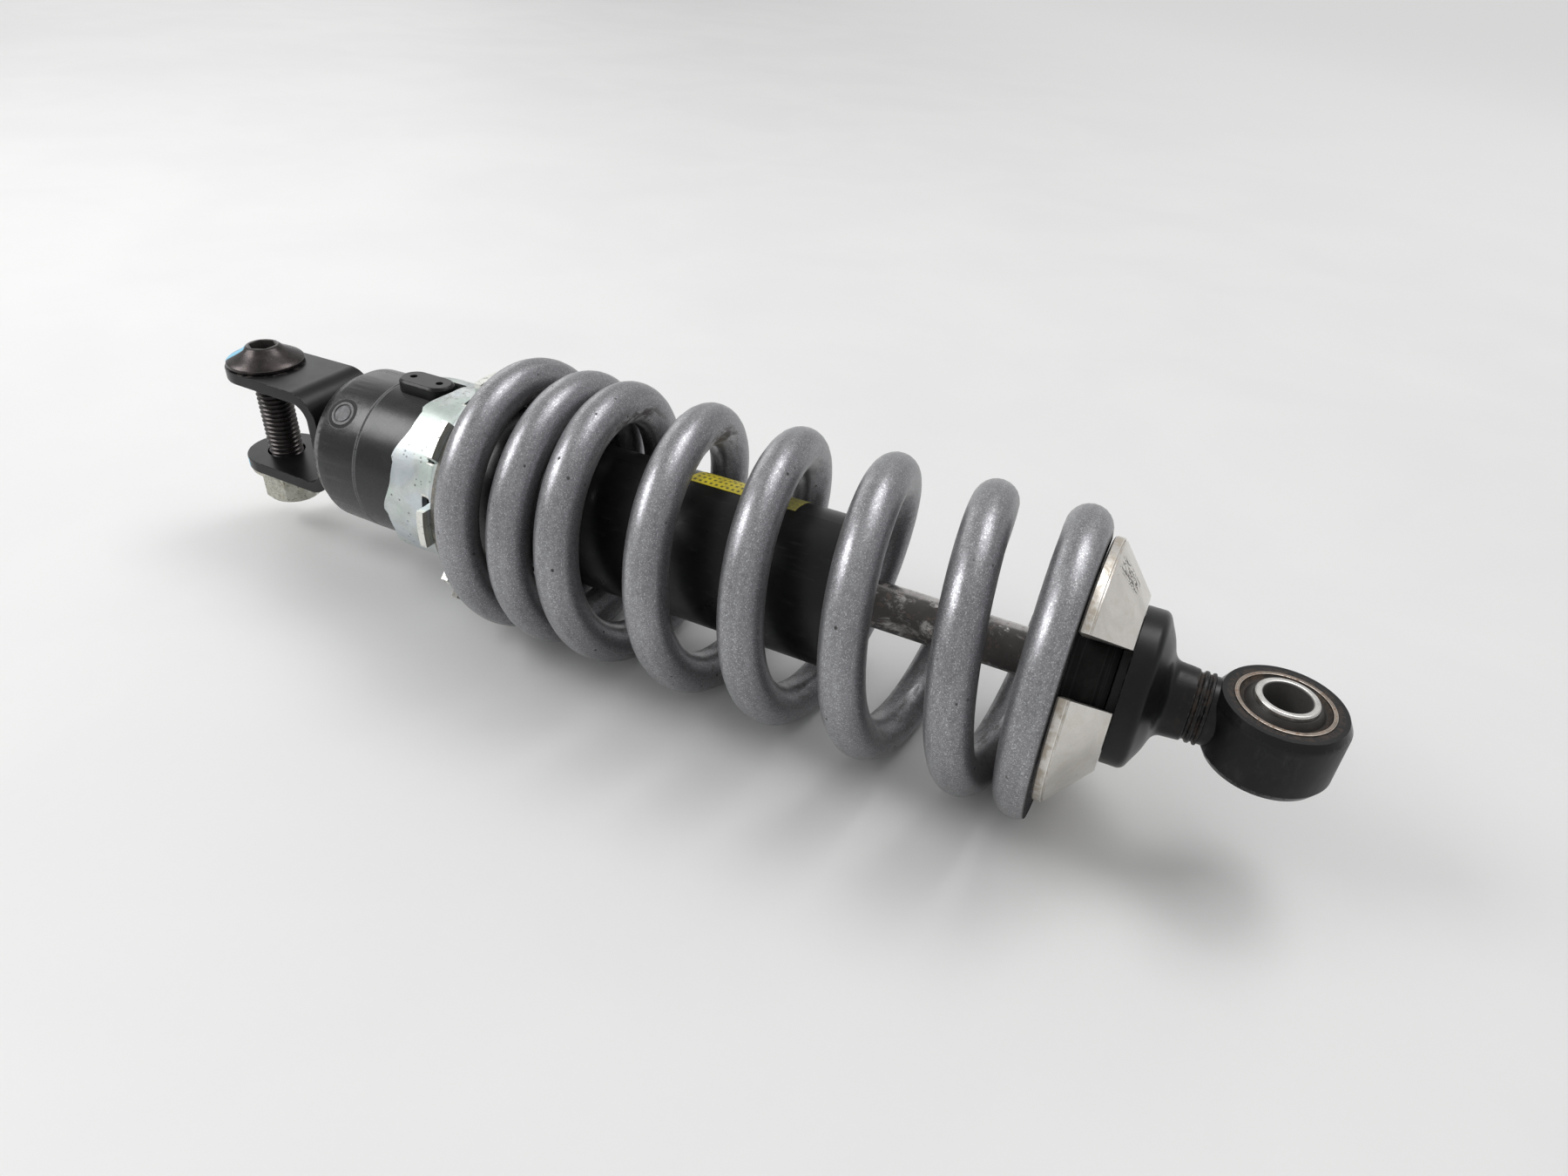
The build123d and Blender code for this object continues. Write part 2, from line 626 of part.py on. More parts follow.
def spring_seat():
    """C-shaped aluminium seat that slips over the rod through its slot."""
    flange_x = SEAT_FACE_X + SEAT_FLANGE_T
    cone_x = flange_x + 0.5
    end = SEAT_FACE_X + SEAT_L
    lip_bore = SPIGOT_LIP_R + STATIC_GAP
    lip_x = LIP_X - STATIC_GAP
    body = turned(
        [
            (SEAT_FACE_X, SEAT_BORE_R), (lip_x, SEAT_BORE_R), (lip_x, lip_bore), (end, lip_bore),
            (end, SEAT_CONE_END_R), (cone_x, SEAT_CONE_R), (cone_x, SEAT_CONE_R - SEAT_GROOVE),
            (flange_x, SEAT_CONE_R - SEAT_GROOVE), (flange_x, SEAT_FLANGE_R - EDGE / 2),
            (flange_x - EDGE / 2, SEAT_FLANGE_R), (SEAT_FACE_X + EDGE, SEAT_FLANGE_R),
            (SEAT_FACE_X, SEAT_FLANGE_R - EDGE),
        ]
    )
    middle = (SEAT_FACE_X + end) / 2
    slot = Pos(middle, 0, SEAT_FLANGE_R / 2 + 5) * Box(2 * SEAT_L, SEAT_SLOT_W, SEAT_FLANGE_R + 10)
    return body - at_angle(slot, SEAT_SLOT_ANGLE)


def bell_bracket():
    """Bell that backs the spring seat and narrows to a grooved neck."""
    rim_x = BELL_X + BELL_RIM_L
    neck_x = rim_x + BELL_CURVE_L
    hole = ROD_R + STATIC_GAP
    socket_x = BELL_X + ROD_SOCKET_L
    stub_hole = EYE_STUB_R + STATIC_GAP
    start = Polyline(
        (socket_x, 0), (socket_x, hole), (LIP_X, hole), (LIP_X, SPIGOT_LIP_R),
        (BELL_X, SPIGOT_LIP_R), (BELL_X, BELL_R), (rim_x, BELL_R),
    )
    curve = Spline(
        (rim_x, BELL_R), (rim_x + 0.32 * BELL_CURVE_L, NECK_R + 0.8 * (BELL_R - NECK_R)),
        (rim_x + 0.62 * BELL_CURVE_L, NECK_R + 0.37 * (BELL_R - NECK_R)), (neck_x, NECK_R + 0.4),
        tangents=((1, -0.1, 0), (1, -0.12, 0)),
    )
    groove_a = NECK_END_X - 4.2
    groove_b = NECK_END_X - 1.9
    rest = Polyline(
        (neck_x, NECK_R + 0.4), (groove_a, NECK_R), (groove_a + 0.4, NECK_R - NECK_GROOVE),
        (groove_a + 1.0, NECK_R - NECK_GROOVE), (groove_a + 1.4, NECK_R), (groove_b, NECK_R),
        (groove_b + 0.3, NECK_R - NECK_GROOVE), (groove_b + 0.8, NECK_R - NECK_GROOVE),
        (groove_b + 1.1, NECK_R), (NECK_END_X, NECK_R), (NECK_END_X, stub_hole),
        (NECK_END_X - EYE_STUB_L, stub_hole), (NECK_END_X - EYE_STUB_L, 0), (socket_x, 0),
    )
    profile = make_face(Wire([*start.edges(), *curve.edges(), *rest.edges()]))
    return revolve(Plane.XZ * profile, Axis.X, 360)


# ---------------------------------------------------------------- eye end
def eye_end():
    """Eye ring with a short stub that joins the bell's neck."""
    flat = EYE_HALF_H - EYE_CHAMFER_H
    ring = upright(
        [
            (0, -EYE_HALF_H), (EYE_TOP_R, -EYE_HALF_H), (EYE_R, -flat), (EYE_R, flat),
            (EYE_TOP_R, EYE_HALF_H), (0, EYE_HALF_H),
        ]
    )
    collar = bored(NECK_R - 0.6, 0, NECK_END_X + STATIC_GAP, -BUSH_R)
    stub = bored(EYE_STUB_R, 0, NECK_END_X - EYE_STUB_L + STATIC_GAP, -BUSH_R)
    return ring + collar + stub - Cylinder(BUSH_R + RUN_GAP, 4 * EYE_HALF_H)


def bush_shell():
    """Thin steel tube pressed into the eye."""
    return Cylinder(BUSH_R, 2 * BUSH_HALF_H) - Cylinder(BUSH_R - BUSH_T, 4 * BUSH_HALF_H)


def bush_rubber():
    """Rubber of the bush with a raised lip at each face."""
    outer = BUSH_R - BUSH_T - STATIC_GAP
    inner = SLEEVE_R + RUN_GAP
    lip = RUBBER_HALF_H
    web = lip - 1.6
    middle = (outer + inner) / 2
    return upright(
        [
            (inner, -lip), (inner + 1.0, -lip), (middle, -web), (outer - 0.6, -web), (outer, -lip + 0.7),
            (outer, lip - 0.7), (outer - 0.6, web), (middle, web), (inner + 1.0, lip), (inner, lip),
        ]
    )


def inner_sleeve():
    """Steel sleeve that the mounting bolt clamps; the eye turns on it."""
    top = SLEEVE_HALF_H
    return upright(
        [
            (SLEEVE_BORE_R + EDGE, -top), (SLEEVE_R - EDGE, -top), (SLEEVE_R, EDGE - top),
            (SLEEVE_R, top - EDGE), (SLEEVE_R - EDGE, top), (SLEEVE_BORE_R + EDGE, top),
            (SLEEVE_BORE_R, top - EDGE), (SLEEVE_BORE_R, EDGE - top),
        ]
    )


# ---------------------------------------------------------------- rod guide and floating piston
def rod_guide():
    """Guide that closes the tube and carries the bushing and the seals."""
    outer = TUBE_BORE_R - STATIC_GAP
    pocket_x = GUIDE_END_X - SEAL_T - WIPER_T - 1.0
    groove_x = GUIDE_START_X + GUIDE_GROOVE_AT
    groove_r = TUBE_BORE_R - 2 * CORD_R
    bushing_r = ROD_R + RUN_GAP + BUSHING_T + STATIC_GAP
    return turned(
        [
            (GUIDE_START_X, bushing_r), (pocket_x, bushing_r), (pocket_x, SEAL_R + STATIC_GAP),
            (GUIDE_END_X, SEAL_R + STATIC_GAP), (GUIDE_END_X, outer), (groove_x + 2 * CORD_R + 0.4, outer),
            (groove_x + 2 * CORD_R + 0.4, groove_r - 0.1), (groove_x, groove_r - 0.1),
            (groove_x, outer), (GUIDE_START_X, outer),
        ]
    )


def cord_ring(x, outer):
    """O-ring about the X axis."""
    return Pos(x, 0, 0) * Rot(0, 90, 0) * Torus(outer - CORD_R, CORD_R)


def guide_bushing():
    """Sliding bushing of the rod inside the guide."""
    inner = ROD_R + RUN_GAP
    return bored(inner + BUSHING_T, inner, GUIDE_START_X + 0.3, GUIDE_START_X + 0.3 + BUSHING_L)


def rod_seal():
    """Oil seal with a lip towards the oil."""
    end = GUIDE_END_X - WIPER_T - 0.4
    inner = ROD_R + RUN_GAP
    return turned(
        [
            (end - SEAL_T, SEAL_R - 2.0), (end - SEAL_T, SEAL_R), (end, SEAL_R), (end, inner + 1.5),
            (end - 1.6, inner), (end - SEAL_T + 0.4, inner), (end - SEAL_T, inner + 0.8),
            (end - 2.2, inner + 3.0),
        ]
    )


def dust_wiper():
    """Wiper that keeps dirt off the rod, with its lip outwards."""
    start = GUIDE_END_X - WIPER_T
    inner = ROD_R + RUN_GAP
    lip_x = TUBE_END_X - 0.2
    return turned(
        [
            (start, inner + 1.2), (start, SEAL_R), (GUIDE_END_X, SEAL_R), (GUIDE_END_X, inner + 3.0),
            (lip_x, inner + 1.4), (lip_x, inner + 0.2), (lip_x - 1.0, inner),
        ]
    )


def retaining_ring():
    """Open wire-formed ring in the tube's groove that holds the guide in."""
    start = GUIDE_END_X + 2 * RUN_GAP
    ring = bored(TUBE_BORE_R + CLIP_BITE - STATIC_GAP, CLIP_INNER_R, start, start + CLIP_T - RUN_GAP)
    return ring - Pos(start, 0, CLIP_INNER_R + 2) * Box(4 * CLIP_T, 7.0, 12)


def floating_piston():
    """Cup that parts the gas from the oil."""
    start = FLOATING_END_X - FLOATING_L
    outer = TUBE_BORE_R - RUN_GAP
    groove_r = TUBE_BORE_R - 2 * CORD_R - 0.1
    groove_x = FLOATING_END_X - FLOATING_GROOVE_AT
    inner = outer - FLOATING_WALL
    return turned(
        [
            (start, inner), (FLOATING_END_X - FLOATING_WALL, inner), (FLOATING_END_X - FLOATING_WALL, 0),
            (FLOATING_END_X, 0), (FLOATING_END_X, outer), (groove_x + 2 * CORD_R + 0.2, outer),
            (groove_x + 2 * CORD_R + 0.2, groove_r), (groove_x - 0.2, groove_r), (groove_x - 0.2, outer),
            (start, outer),
        ]
    )


# ---------------------------------------------------------------- build
NODES = {
    "clevis_bracket": clevis_bracket,
    "weld_bead": weld_bead,
    "pivot_bolt": pivot_bolt,
    "flange_nut": flange_nut,
    "end_cap": end_cap,
    "charge_plug": charge_plug,
    "stop_collar": stop_collar,
    "cam_stops": cam_stops,
    "damper_tube": damper_tube,
    "tube_label": tube_label,
    "preload_ring": preload_ring,
    "seat_washer": seat_washer,
    "coil_spring": coil_spring,
    "piston_rod": piston_rod,
    "top_out_bumper": lambda: bored(TOP_OUT_R, ROD_R + STATIC_GAP, ROD_SHOULDER_X, TOP_OUT_END_X),
    "rebound_washer": lambda: bored(
        ROD_WASHER_R, SPIGOT_R + RUN_GAP, REBOUND_SHIM_X, ROD_SHOULDER_X
    ),
    "rebound_shims": lambda: shim_stack(PISTON_END_X, 1),
    "piston": piston,
    "piston_band": piston_band,
    "compression_shims": lambda: shim_stack(PISTON_START_X, -1),
    "piston_nut": piston_nut,
    "bump_stop": bump_stop,
    "spring_seat": spring_seat,
    "bell_bracket": bell_bracket,
    "eye_end": eye_end,
    "bush_shell": bush_shell,
    "bush_rubber": bush_rubber,
    "inner_sleeve": inner_sleeve,
    "rod_guide": rod_guide,
    "guide_oring": lambda: cord_ring(GUIDE_START_X + GUIDE_GROOVE_AT + 0.2 + CORD_R, TUBE_BORE_R),
    "guide_bushing": guide_bushing,
    "rod_seal": rod_seal,
    "dust_wiper": dust_wiper,
    "retaining_ring": retaining_ring,
    "floating_piston": floating_piston,
    "floating_oring": lambda: cord_ring(FLOATING_END_X - FLOATING_GROOVE_AT + CORD_R, TUBE_BORE_R - RUN_GAP),
}

os.makedirs("parts", exist_ok=True)
for name, make in NODES.items():
    export(make(), name)
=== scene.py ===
"""Looks of a coil-over rear shock absorber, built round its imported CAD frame.

Everything is in metres in the row frame: X runs along the shock from the clevis to the eye,
Z is parallel to the clevis bolt and the eye's bore, and the origin is the centre of that bore.
Shader positions are in millimetres. A sector is an angle about X, from -Y towards +Z.
"""
import json
import logging
import math
from dataclasses import dataclass
from enum import Enum
from typing import Sequence

import bpy
import numpy as np
from mathutils import Matrix, Vector

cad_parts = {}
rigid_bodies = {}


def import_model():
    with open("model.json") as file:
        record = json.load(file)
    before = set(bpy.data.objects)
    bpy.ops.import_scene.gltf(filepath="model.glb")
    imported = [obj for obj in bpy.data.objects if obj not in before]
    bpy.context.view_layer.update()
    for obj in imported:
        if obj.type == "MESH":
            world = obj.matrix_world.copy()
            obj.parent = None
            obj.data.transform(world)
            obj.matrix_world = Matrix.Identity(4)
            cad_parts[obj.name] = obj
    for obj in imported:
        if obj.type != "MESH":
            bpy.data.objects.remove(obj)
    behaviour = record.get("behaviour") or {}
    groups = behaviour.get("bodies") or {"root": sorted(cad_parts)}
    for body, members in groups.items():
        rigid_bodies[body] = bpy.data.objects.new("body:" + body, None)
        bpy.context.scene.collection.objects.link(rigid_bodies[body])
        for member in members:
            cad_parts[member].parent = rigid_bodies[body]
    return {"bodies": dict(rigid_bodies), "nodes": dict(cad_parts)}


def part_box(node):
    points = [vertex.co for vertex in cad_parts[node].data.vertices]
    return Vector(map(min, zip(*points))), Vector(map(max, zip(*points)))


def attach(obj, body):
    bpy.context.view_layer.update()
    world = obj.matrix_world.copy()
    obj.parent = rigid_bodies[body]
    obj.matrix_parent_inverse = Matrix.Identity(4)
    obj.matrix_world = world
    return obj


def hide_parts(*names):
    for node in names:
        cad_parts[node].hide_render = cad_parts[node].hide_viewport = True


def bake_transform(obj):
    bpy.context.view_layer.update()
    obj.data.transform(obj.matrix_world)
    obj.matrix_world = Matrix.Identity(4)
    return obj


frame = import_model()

MM = 0.001
MERGE = 2e-6
FLAT_DEGREES = 0.6
LATHE_STEPS = 96
UP = Vector((0, 0, 1))
Colour = tuple[float, float, float]
Thing = bpy.types.Object
Point = tuple[float, float]
log = logging.getLogger("shock")


# ---- shader maths
class Value:
    """One socket of a shader, whose arithmetic adds the nodes that work it out."""

    def __init__(self, graph: "Graph", socket: bpy.types.NodeSocket | None) -> None:
        """Wraps an output of one of the graph's nodes."""
        self.graph = graph
        self.socket = socket

    def math(self, operation: str, *others: "Value | float") -> "Value":
        """Result of a Math node with this value first."""
        return self.graph.math(operation, self, *others)

    def __add__(self, other: "Value | float") -> "Value":
        """Sum."""
        return self.math("ADD", other)

    def __sub__(self, other: "Value | float") -> "Value":
        """Difference."""
        return self.math("SUBTRACT", other)

    def __mul__(self, other: "Value | float") -> "Value":
        """Product."""
        return self.math("MULTIPLY", other)

    def __radd__(self, other: float) -> "Value":
        """Sum with a number on the left."""
        return self.graph.math("ADD", other, self)

    def __rsub__(self, other: float) -> "Value":
        """Difference from a number on the left."""
        return self.graph.math("SUBTRACT", other, self)

    def __abs__(self) -> "Value":
        """Absolute value."""
        return self.math("ABSOLUTE")

    def rise(self, low: float, high: float) -> "Value":
        """Smooth step from 0 at low to 1 at high."""
        span = {"Value": self, "From Min": low, "From Max": high}
        return self.graph.node("ShaderNodeMapRange", {"interpolation_type": "SMOOTHSTEP"}, span)

    def fall(self, low: float, high: float) -> "Value":
        """Smooth step from 1 at low to 0 at high."""
        return 1 - self.rise(low, high)

    def near(self, centre: float, half: float, soft: float) -> "Value":
        """1 within half a width of the centre, and 0 beyond the soft edge."""
        return abs(self - centre).fall(half, half + soft)

    def split(self) -> list["Value"]:
        """Parts of a vector along X, Y and Z."""
        return [self.graph.node("ShaderNodeSeparateXYZ", {}, {0: self}, axis) for axis in range(3)]

    def stretched(self, *scale: float) -> "Value":
        """A place scaled along X, Y and Z, for streaks and brushed lines."""
        inputs = {"Vector": self, "Scale": scale}
        return self.graph.node("ShaderNodeMapping", {"vector_type": "POINT"}, inputs)

    def noise(self, size: float, detail: float = 2.0, rough: float = 0.5, warp: float = 0.0) -> "Value":
        """Noise from 0 to 1 over a place.

        Args:
            size: size of its patches in millimetres.
            detail: number of finer layers.
            rough: strength of the finer layers.
            warp: distortion.

        Returns:
            The noise.
        """
        inputs = {"Vector": self, "Scale": 1 / size, "Detail": detail, "Roughness": rough, "Distortion": warp}
        return self.graph.node("ShaderNodeTexNoise", {}, inputs)

    def specks(self, cell: float, radius: float, share: float, soft: float = 0.03) -> "Value":
        """Scattered round specks over a place.

        Args:
            cell: distance between neighbours in millimetres.
            radius: their size in millimetres.
            share: share of the cells that have one.
            soft: how gradually the cells without one begin.

        Returns:
            1 on a speck and 0 elsewhere.
        """
        far = self.graph.node("ShaderNodeTexVoronoi", {}, {"Vector": self, "Scale": 1 / cell}, "Distance")
        pick = self.noise(3.1 * cell, 1.0).rise(1 - share - soft, 1 - share + soft)
        return far.fall(0.5 * radius / cell, radius / cell) * pick


class Graph:
    """One material's node tree."""

    def __init__(self, name: str) -> None:
        """Makes an empty node material of that name."""
        self.material = bpy.data.materials.new(name)
        self.material.use_nodes = True
        self.tree = self.material.node_tree
        self.tree.nodes.clear()

    def node(
        self, kind: str, settings: dict | None = None, inputs: dict | None = None, output: int | str = 0
    ) -> Value:
        """Adds a node.

        Args:
            kind: the node's type.
            settings: its attributes, set before its inputs.
            inputs: values or links, by socket name or number.
            output: which output is wanted.

        Returns:
            That output as a value.
        """
        made = self.tree.nodes.new(kind)
        for key, value in (settings or {}).items():
            setattr(made, key, value)
        for key, value in (inputs or {}).items():
            self.feed(made.inputs[key], value)
        return Value(self, made.outputs[output] if len(made.outputs) else None)

    def feed(self, socket: bpy.types.NodeSocket, value: "Value | float | Sequence[float]") -> None:
        """Links a value to a socket, or sets the socket's own number or colour."""
        if isinstance(value, Value):
            self.tree.links.new(value.socket, socket)
        elif isinstance(value, (tuple, list)):
            socket.default_value = (*value, 1.0) if socket.type == "RGBA" else value
        else:
            socket.default_value = value

    def math(self, operation: str, *terms: "Value | float") -> Value:
        """Adds a Math node."""
        return self.node("ShaderNodeMath", {"operation": operation}, dict(enumerate(terms)))

    def mix(self, share: "Value | float", low: "Value | Colour", high: "Value | Colour") -> Value:
        """Mixes two colours, from low at a share of 0 to high at 1."""
        return self.node("ShaderNodeMix", {"data_type": "RGBA"}, {0: share, 6: low, 7: high}, 2)

    def attribute(self, name: str, output: str) -> Value:
        """Reads what a mesh stores at each point."""
        return self.node("ShaderNodeAttribute", {"attribute_name": name}, output=output)


@dataclass
class Place:
    """Where a shaded point is, in millimetres and degrees."""

    at: Value
    x: Value
    y: Value
    z: Value
    radius: Value
    sector: Value
    wear: Value

    @classmethod
    def of(cls, graph: Graph) -> "Place":
        """Reads the point's place.

        Args:
            graph: the material's graph.

        Returns:
            The place, with the wear that rounded edges carry.
        """
        spot = graph.node("ShaderNodeTexCoord", output="Object")
        spot = graph.node("ShaderNodeVectorMath", {"operation": "SCALE"}, {0: spot, "Scale": 1 / MM})
        x, y, z = spot.split()
        radius = (y * y + z * z).math("SQRT")
        sector = z.math("ARCTAN2", y * -1.0) * (180 / math.pi)
        return cls(spot, x, y, z, radius, sector, graph.attribute("wear", "Fac"))

    def wire(self) -> Value:
        """Place along, out from and beside the spring's wire, where a length of it stores that."""
        return self.at.graph.attribute("wire", "Vector")

    def beside(self, x: float) -> Value:
        """Distance from an upright axis that crosses the shock's own."""
        along = self.x - x
        return (self.y * self.y + along * along).math("SQRT")

    def bearing(self, x: float, degrees: float) -> tuple[Value, Value]:
        """Place in plan about an upright axis.

        Args:
            x: where the axis stands.
            degrees: the bearing, from +X towards +Y.

        Returns:
            Distance along the bearing and across it.
        """
        cosine, sine = math.cos(math.radians(degrees)), math.sin(math.radians(degrees))
        along = self.x - x
        return along * cosine + self.y * sine, self.y * cosine - along * sine


@dataclass
class Layer:
    """Something that lies on a finish."""

    mask: Value
    colour: Colour
    roughness: float
    metallic: float
    height: float = 0.0


@dataclass(frozen=True)
class Finish:
    """A finish with patches, grain and layers of wear, dirt and painted light and shade."""

    name: str
    slot: str
    light: Colour
    dark: Colour
    metallic: float = 0.0
    roughness: float = 0.5
    spread: float = 0.08
    patch: float = 9.0
    grain: float = 0.45
    grain_height: float = 0.004
    grain_share: float = 0.25
    specular: float = 0.5

    def layers(self, place: Place) -> list[Layer]:
        """What lies on the finish, lowest first."""
        return []

    def height(self, place: Place) -> Value:
        """Height of the bare finish in millimetres."""
        return place.at.noise(self.grain, 3.0, 0.6) * self.grain_height

    def tone(self, place: Place) -> Value:
        """Share of the light colour over the dark one."""
        patch = place.at.noise(self.patch, 4.0, 0.6, 0.4)
        grain = place.at.noise(self.grain, 2.0, 0.7)
        return patch.rise(0.3, 0.7) * (1 - self.grain_share) + grain.rise(0.3, 0.7) * self.grain_share

    def material(self) -> bpy.types.Material:
        """Builds the node material.

        Returns:
            The finished material.
        """
        graph = Graph(self.name)
        place = Place.of(graph)
        colour = graph.mix(self.tone(place), self.dark, self.light)
        blotch = place.at.noise(0.6 * self.patch, 5.0, 0.65)
        roughness: Value | float = (blotch - 0.5) * (2 * self.spread) + self.roughness
        metallic: Value | float = self.metallic
        height = self.height(place)
        for layer in self.layers(place):
            colour = graph.mix(layer.mask, colour, layer.colour)
            roughness = roughness + (layer.roughness - roughness) * layer.mask
            if layer.metallic != self.metallic or isinstance(metallic, Value):
                metallic = metallic + layer.mask * (layer.metallic - metallic)
            if layer.height:
                height = height + layer.mask * layer.height
        bump = graph.node("ShaderNodeBump", {}, {"Strength": 1.0, "Distance": MM, "Height": height}, "Normal")
        inputs = {
            "Base Color": colour, "Roughness": roughness, "Metallic": metallic, "Normal": bump,
            "Specular IOR Level": self.specular,
        }
        shader = graph.node("ShaderNodeBsdfPrincipled", {}, inputs)
        graph.node("ShaderNodeOutputMaterial", {}, {"Surface": shader})
        return graph.material


# ---- finishes
@dataclass(frozen=True)
class BlackPaint(Finish):
    """Satin black paint with dust specks and rubbed edges."""

    name: str = "satin_black"
    slot: str = "black_paint"
    light: Colour = (0.0085, 0.0085, 0.0095)
    dark: Colour = (0.0038, 0.0038, 0.0043)
    roughness: float = 0.31
    specular: float = 0.24
    rub: float = 0.40

    def layers(self, place: Place) -> list[Layer]:
        """Dull smears, pale dust specks and grey rubbed edges."""
        smear = place.at.stretched(0.5, 1, 1).noise(5.0, 6.0, 0.7, 0.6).rise(0.56, 0.72)
        rub = place.wear * place.at.noise(1.6, 3.0, 0.7).rise(0.45, 0.65)
        return [
            Layer(smear * 0.25, (0.026, 0.025, 0.025), 0.48, 0.0),
            Layer(place.at.specks(1.9, 0.15, 0.28) * 0.6, (0.22, 0.21, 0.20), 0.8, 0.0, 0.01),
            Layer(rub * self.rub, (0.16, 0.155, 0.15), 0.45, 0.3),
        ]


@dataclass(frozen=True)
class BracketPaint(BlackPaint):
    """Black paint of the clevis, with a rubbed web and a paint mark."""

    name: str = "bracket_black"
    clevis: float = -350.0
    web: float = -318.2
    gap: float = 15.3
    seat: float = 19.5
    mark: float = 236.0

    def layers(self, place: Place) -> list[Layer]:
        """The black paint's layers, rubs in the web and round the head, and the lower ear's blue mark."""
        patchy = place.at.noise(3.2, 5.0, 0.7, 0.5)
        inside = place.x.near(self.web, 0.35, 0.3) * abs(place.z).fall(5, 12) * place.y.near(-6, 6, 5)
        out, across = place.bearing(self.clevis, self.mark)
        mark = place.z.fall(-self.gap - 0.9, -self.gap - 0.3) * out.rise(12.2, 12.8)
        mark = mark * abs(across).fall(1.6, 2.6)
        top = place.z.rise(self.seat - 0.3, self.seat - 0.1)
        ground = place.beside(self.clevis).near(13.4, 0.7, 0.5) * top
        return super().layers(place) + [
            Layer(inside * patchy.rise(0.46, 0.6) * 0.7, (0.30, 0.29, 0.27), 0.5, 0.2, -0.02),
            Layer(ground * patchy.rise(0.5, 0.6) * 0.5, (0.14, 0.13, 0.12), 0.4, 0.4),
            Layer(mark * patchy.rise(0.20, 0.34) * 0.95, (0.20, 0.50, 0.68), 0.5, 0.0, 0.02),
        ]


@dataclass(frozen=True)
class CapPaint(BlackPaint):
    """Black paint of the end cap and the collar, scuffed on the chamfer."""

    name: str = "cap_black"
    roughness: float = 0.27
    specular: float = 0.45
    chamfer: float = -308.0
    seam: float = -286.0
    plug: float = -296.0
    plug_sector: float = 49.0

    def layers(self, place: Place) -> list[Layer]:
        """The black paint's layers, chamfer scuffs, and smears round the plug and the seam."""
        streak = place.at.stretched(1, 3, 3).noise(1.8, 5.0, 0.75)
        scuff = place.x.near(self.chamfer, 2.0, 0.4) * streak.rise(0.34, 0.6)
        halo = place.x.near(self.plug, 5.4, 2.5) * place.sector.near(self.plug_sector, 12, 6)
        seam = place.x.near(self.seam, 0.5, 0.3)
        off, arc = place.x - self.plug, (place.sector - self.plug_sector) * (math.pi / 180) * place.radius
        joint = (off * off + arc * arc).math("SQRT").near(4.8, 0.45, 0.3)
        return super().layers(place) + [
            Layer(scuff * 0.8, (0.105, 0.103, 0.103), 0.50, 0.1),
            Layer(halo * streak.rise(0.42, 0.6) * 0.30, (0.075, 0.075, 0.078), 0.55, 0.0),
            Layer(seam * streak.rise(0.3, 0.5) * 0.75, (0.15, 0.15, 0.155), 0.45, 0.1),
            Layer(joint * 0.9, (0.002, 0.002, 0.002), 0.7, 0.0, -0.1),
        ]


@dataclass(frozen=True)
class PlugPaint(BlackPaint):
    """Grey scratched face of the charging plug."""

    name: str = "plug_grey"
    light: Colour = (0.190, 0.190, 0.196)
    dark: Colour = (0.080, 0.080, 0.083)
    roughness: float = 0.46
    patch: float = 2.4
    grain: float = 0.25
    grain_height: float = 0.03


@dataclass(frozen=True)
class WeldPaint(BlackPaint):
    """Thick paint on the weld, with pale drips of spatter."""

    name: str = "weld_black"
    grain_height: float = 0.05
    rub: float = 0.8

    def layers(self, place: Place) -> list[Layer]:
        """The black paint's layers and the drips."""
        drip = place.at.stretched(1.6, 1, 0.5).noise(1.9, 4.0, 0.7)
        return super().layers(place) + [
            Layer(drip.rise(0.57, 0.64) * 0.7, (0.26, 0.25, 0.24), 0.6, 0.1, 0.05),
            Layer(drip.fall(0.36, 0.42) * 0.5, (0.055, 0.040, 0.032), 0.8, 0.0),
        ]


@dataclass(frozen=True)
class TubePaint(BlackPaint):
    """Smooth black paint of the damper tube, dusty along its top."""

    name: str = "tube_black"
    slot: str = "tube_black"
    light: Colour = (0.0060, 0.0060, 0.0065)
    dark: Colour = (0.0030, 0.0030, 0.0033)
    roughness: float = 0.30
    specular: float = 0.30

    def layers(self, place: Place) -> list[Layer]:
        """The black paint's layers and long rubbed streaks where the coils pass."""
        streak = place.at.stretched(0.25, 1.4, 1.4).noise(2.2, 5.0, 0.7)
        rubbed = Layer(streak.rise(0.55, 0.7) * 0.22, (0.035, 0.035, 0.036), 0.5, 0.0)
        return super().layers(place) + [rubbed]


@dataclass(frozen=True)
class BellPaint(BlackPaint):
    """Black paint of the bell, with rust in the neck's grooves."""

    name: str = "bell_black"
    neck: float = -25.9
    end: float = -16.9
    rings: Point = (3.5, 1.2)

    def layers(self, place: Place) -> list[Layer]:
        """The black paint's layers, brown dirt on the neck and rust rings."""
        patchy = place.at.stretched(1, 0.6, 0.6).noise(2.4, 5.0, 0.7)
        neck = place.x.rise(self.neck - 0.5, self.neck + 4)
        inner, outer = (place.x.near(self.end - depth, 0.5, 0.35) for depth in self.rings)
        rings = inner.math("MAXIMUM", outer)
        return super().layers(place) + [
            Layer(neck * patchy.rise(0.45, 0.65) * 0.5, (0.030, 0.022, 0.017), 0.7, 0.0),
            Layer(rings * patchy.rise(0.46, 0.64) * 0.5, (0.052, 0.035, 0.026), 0.85, 0.0, 0.02),
        ]


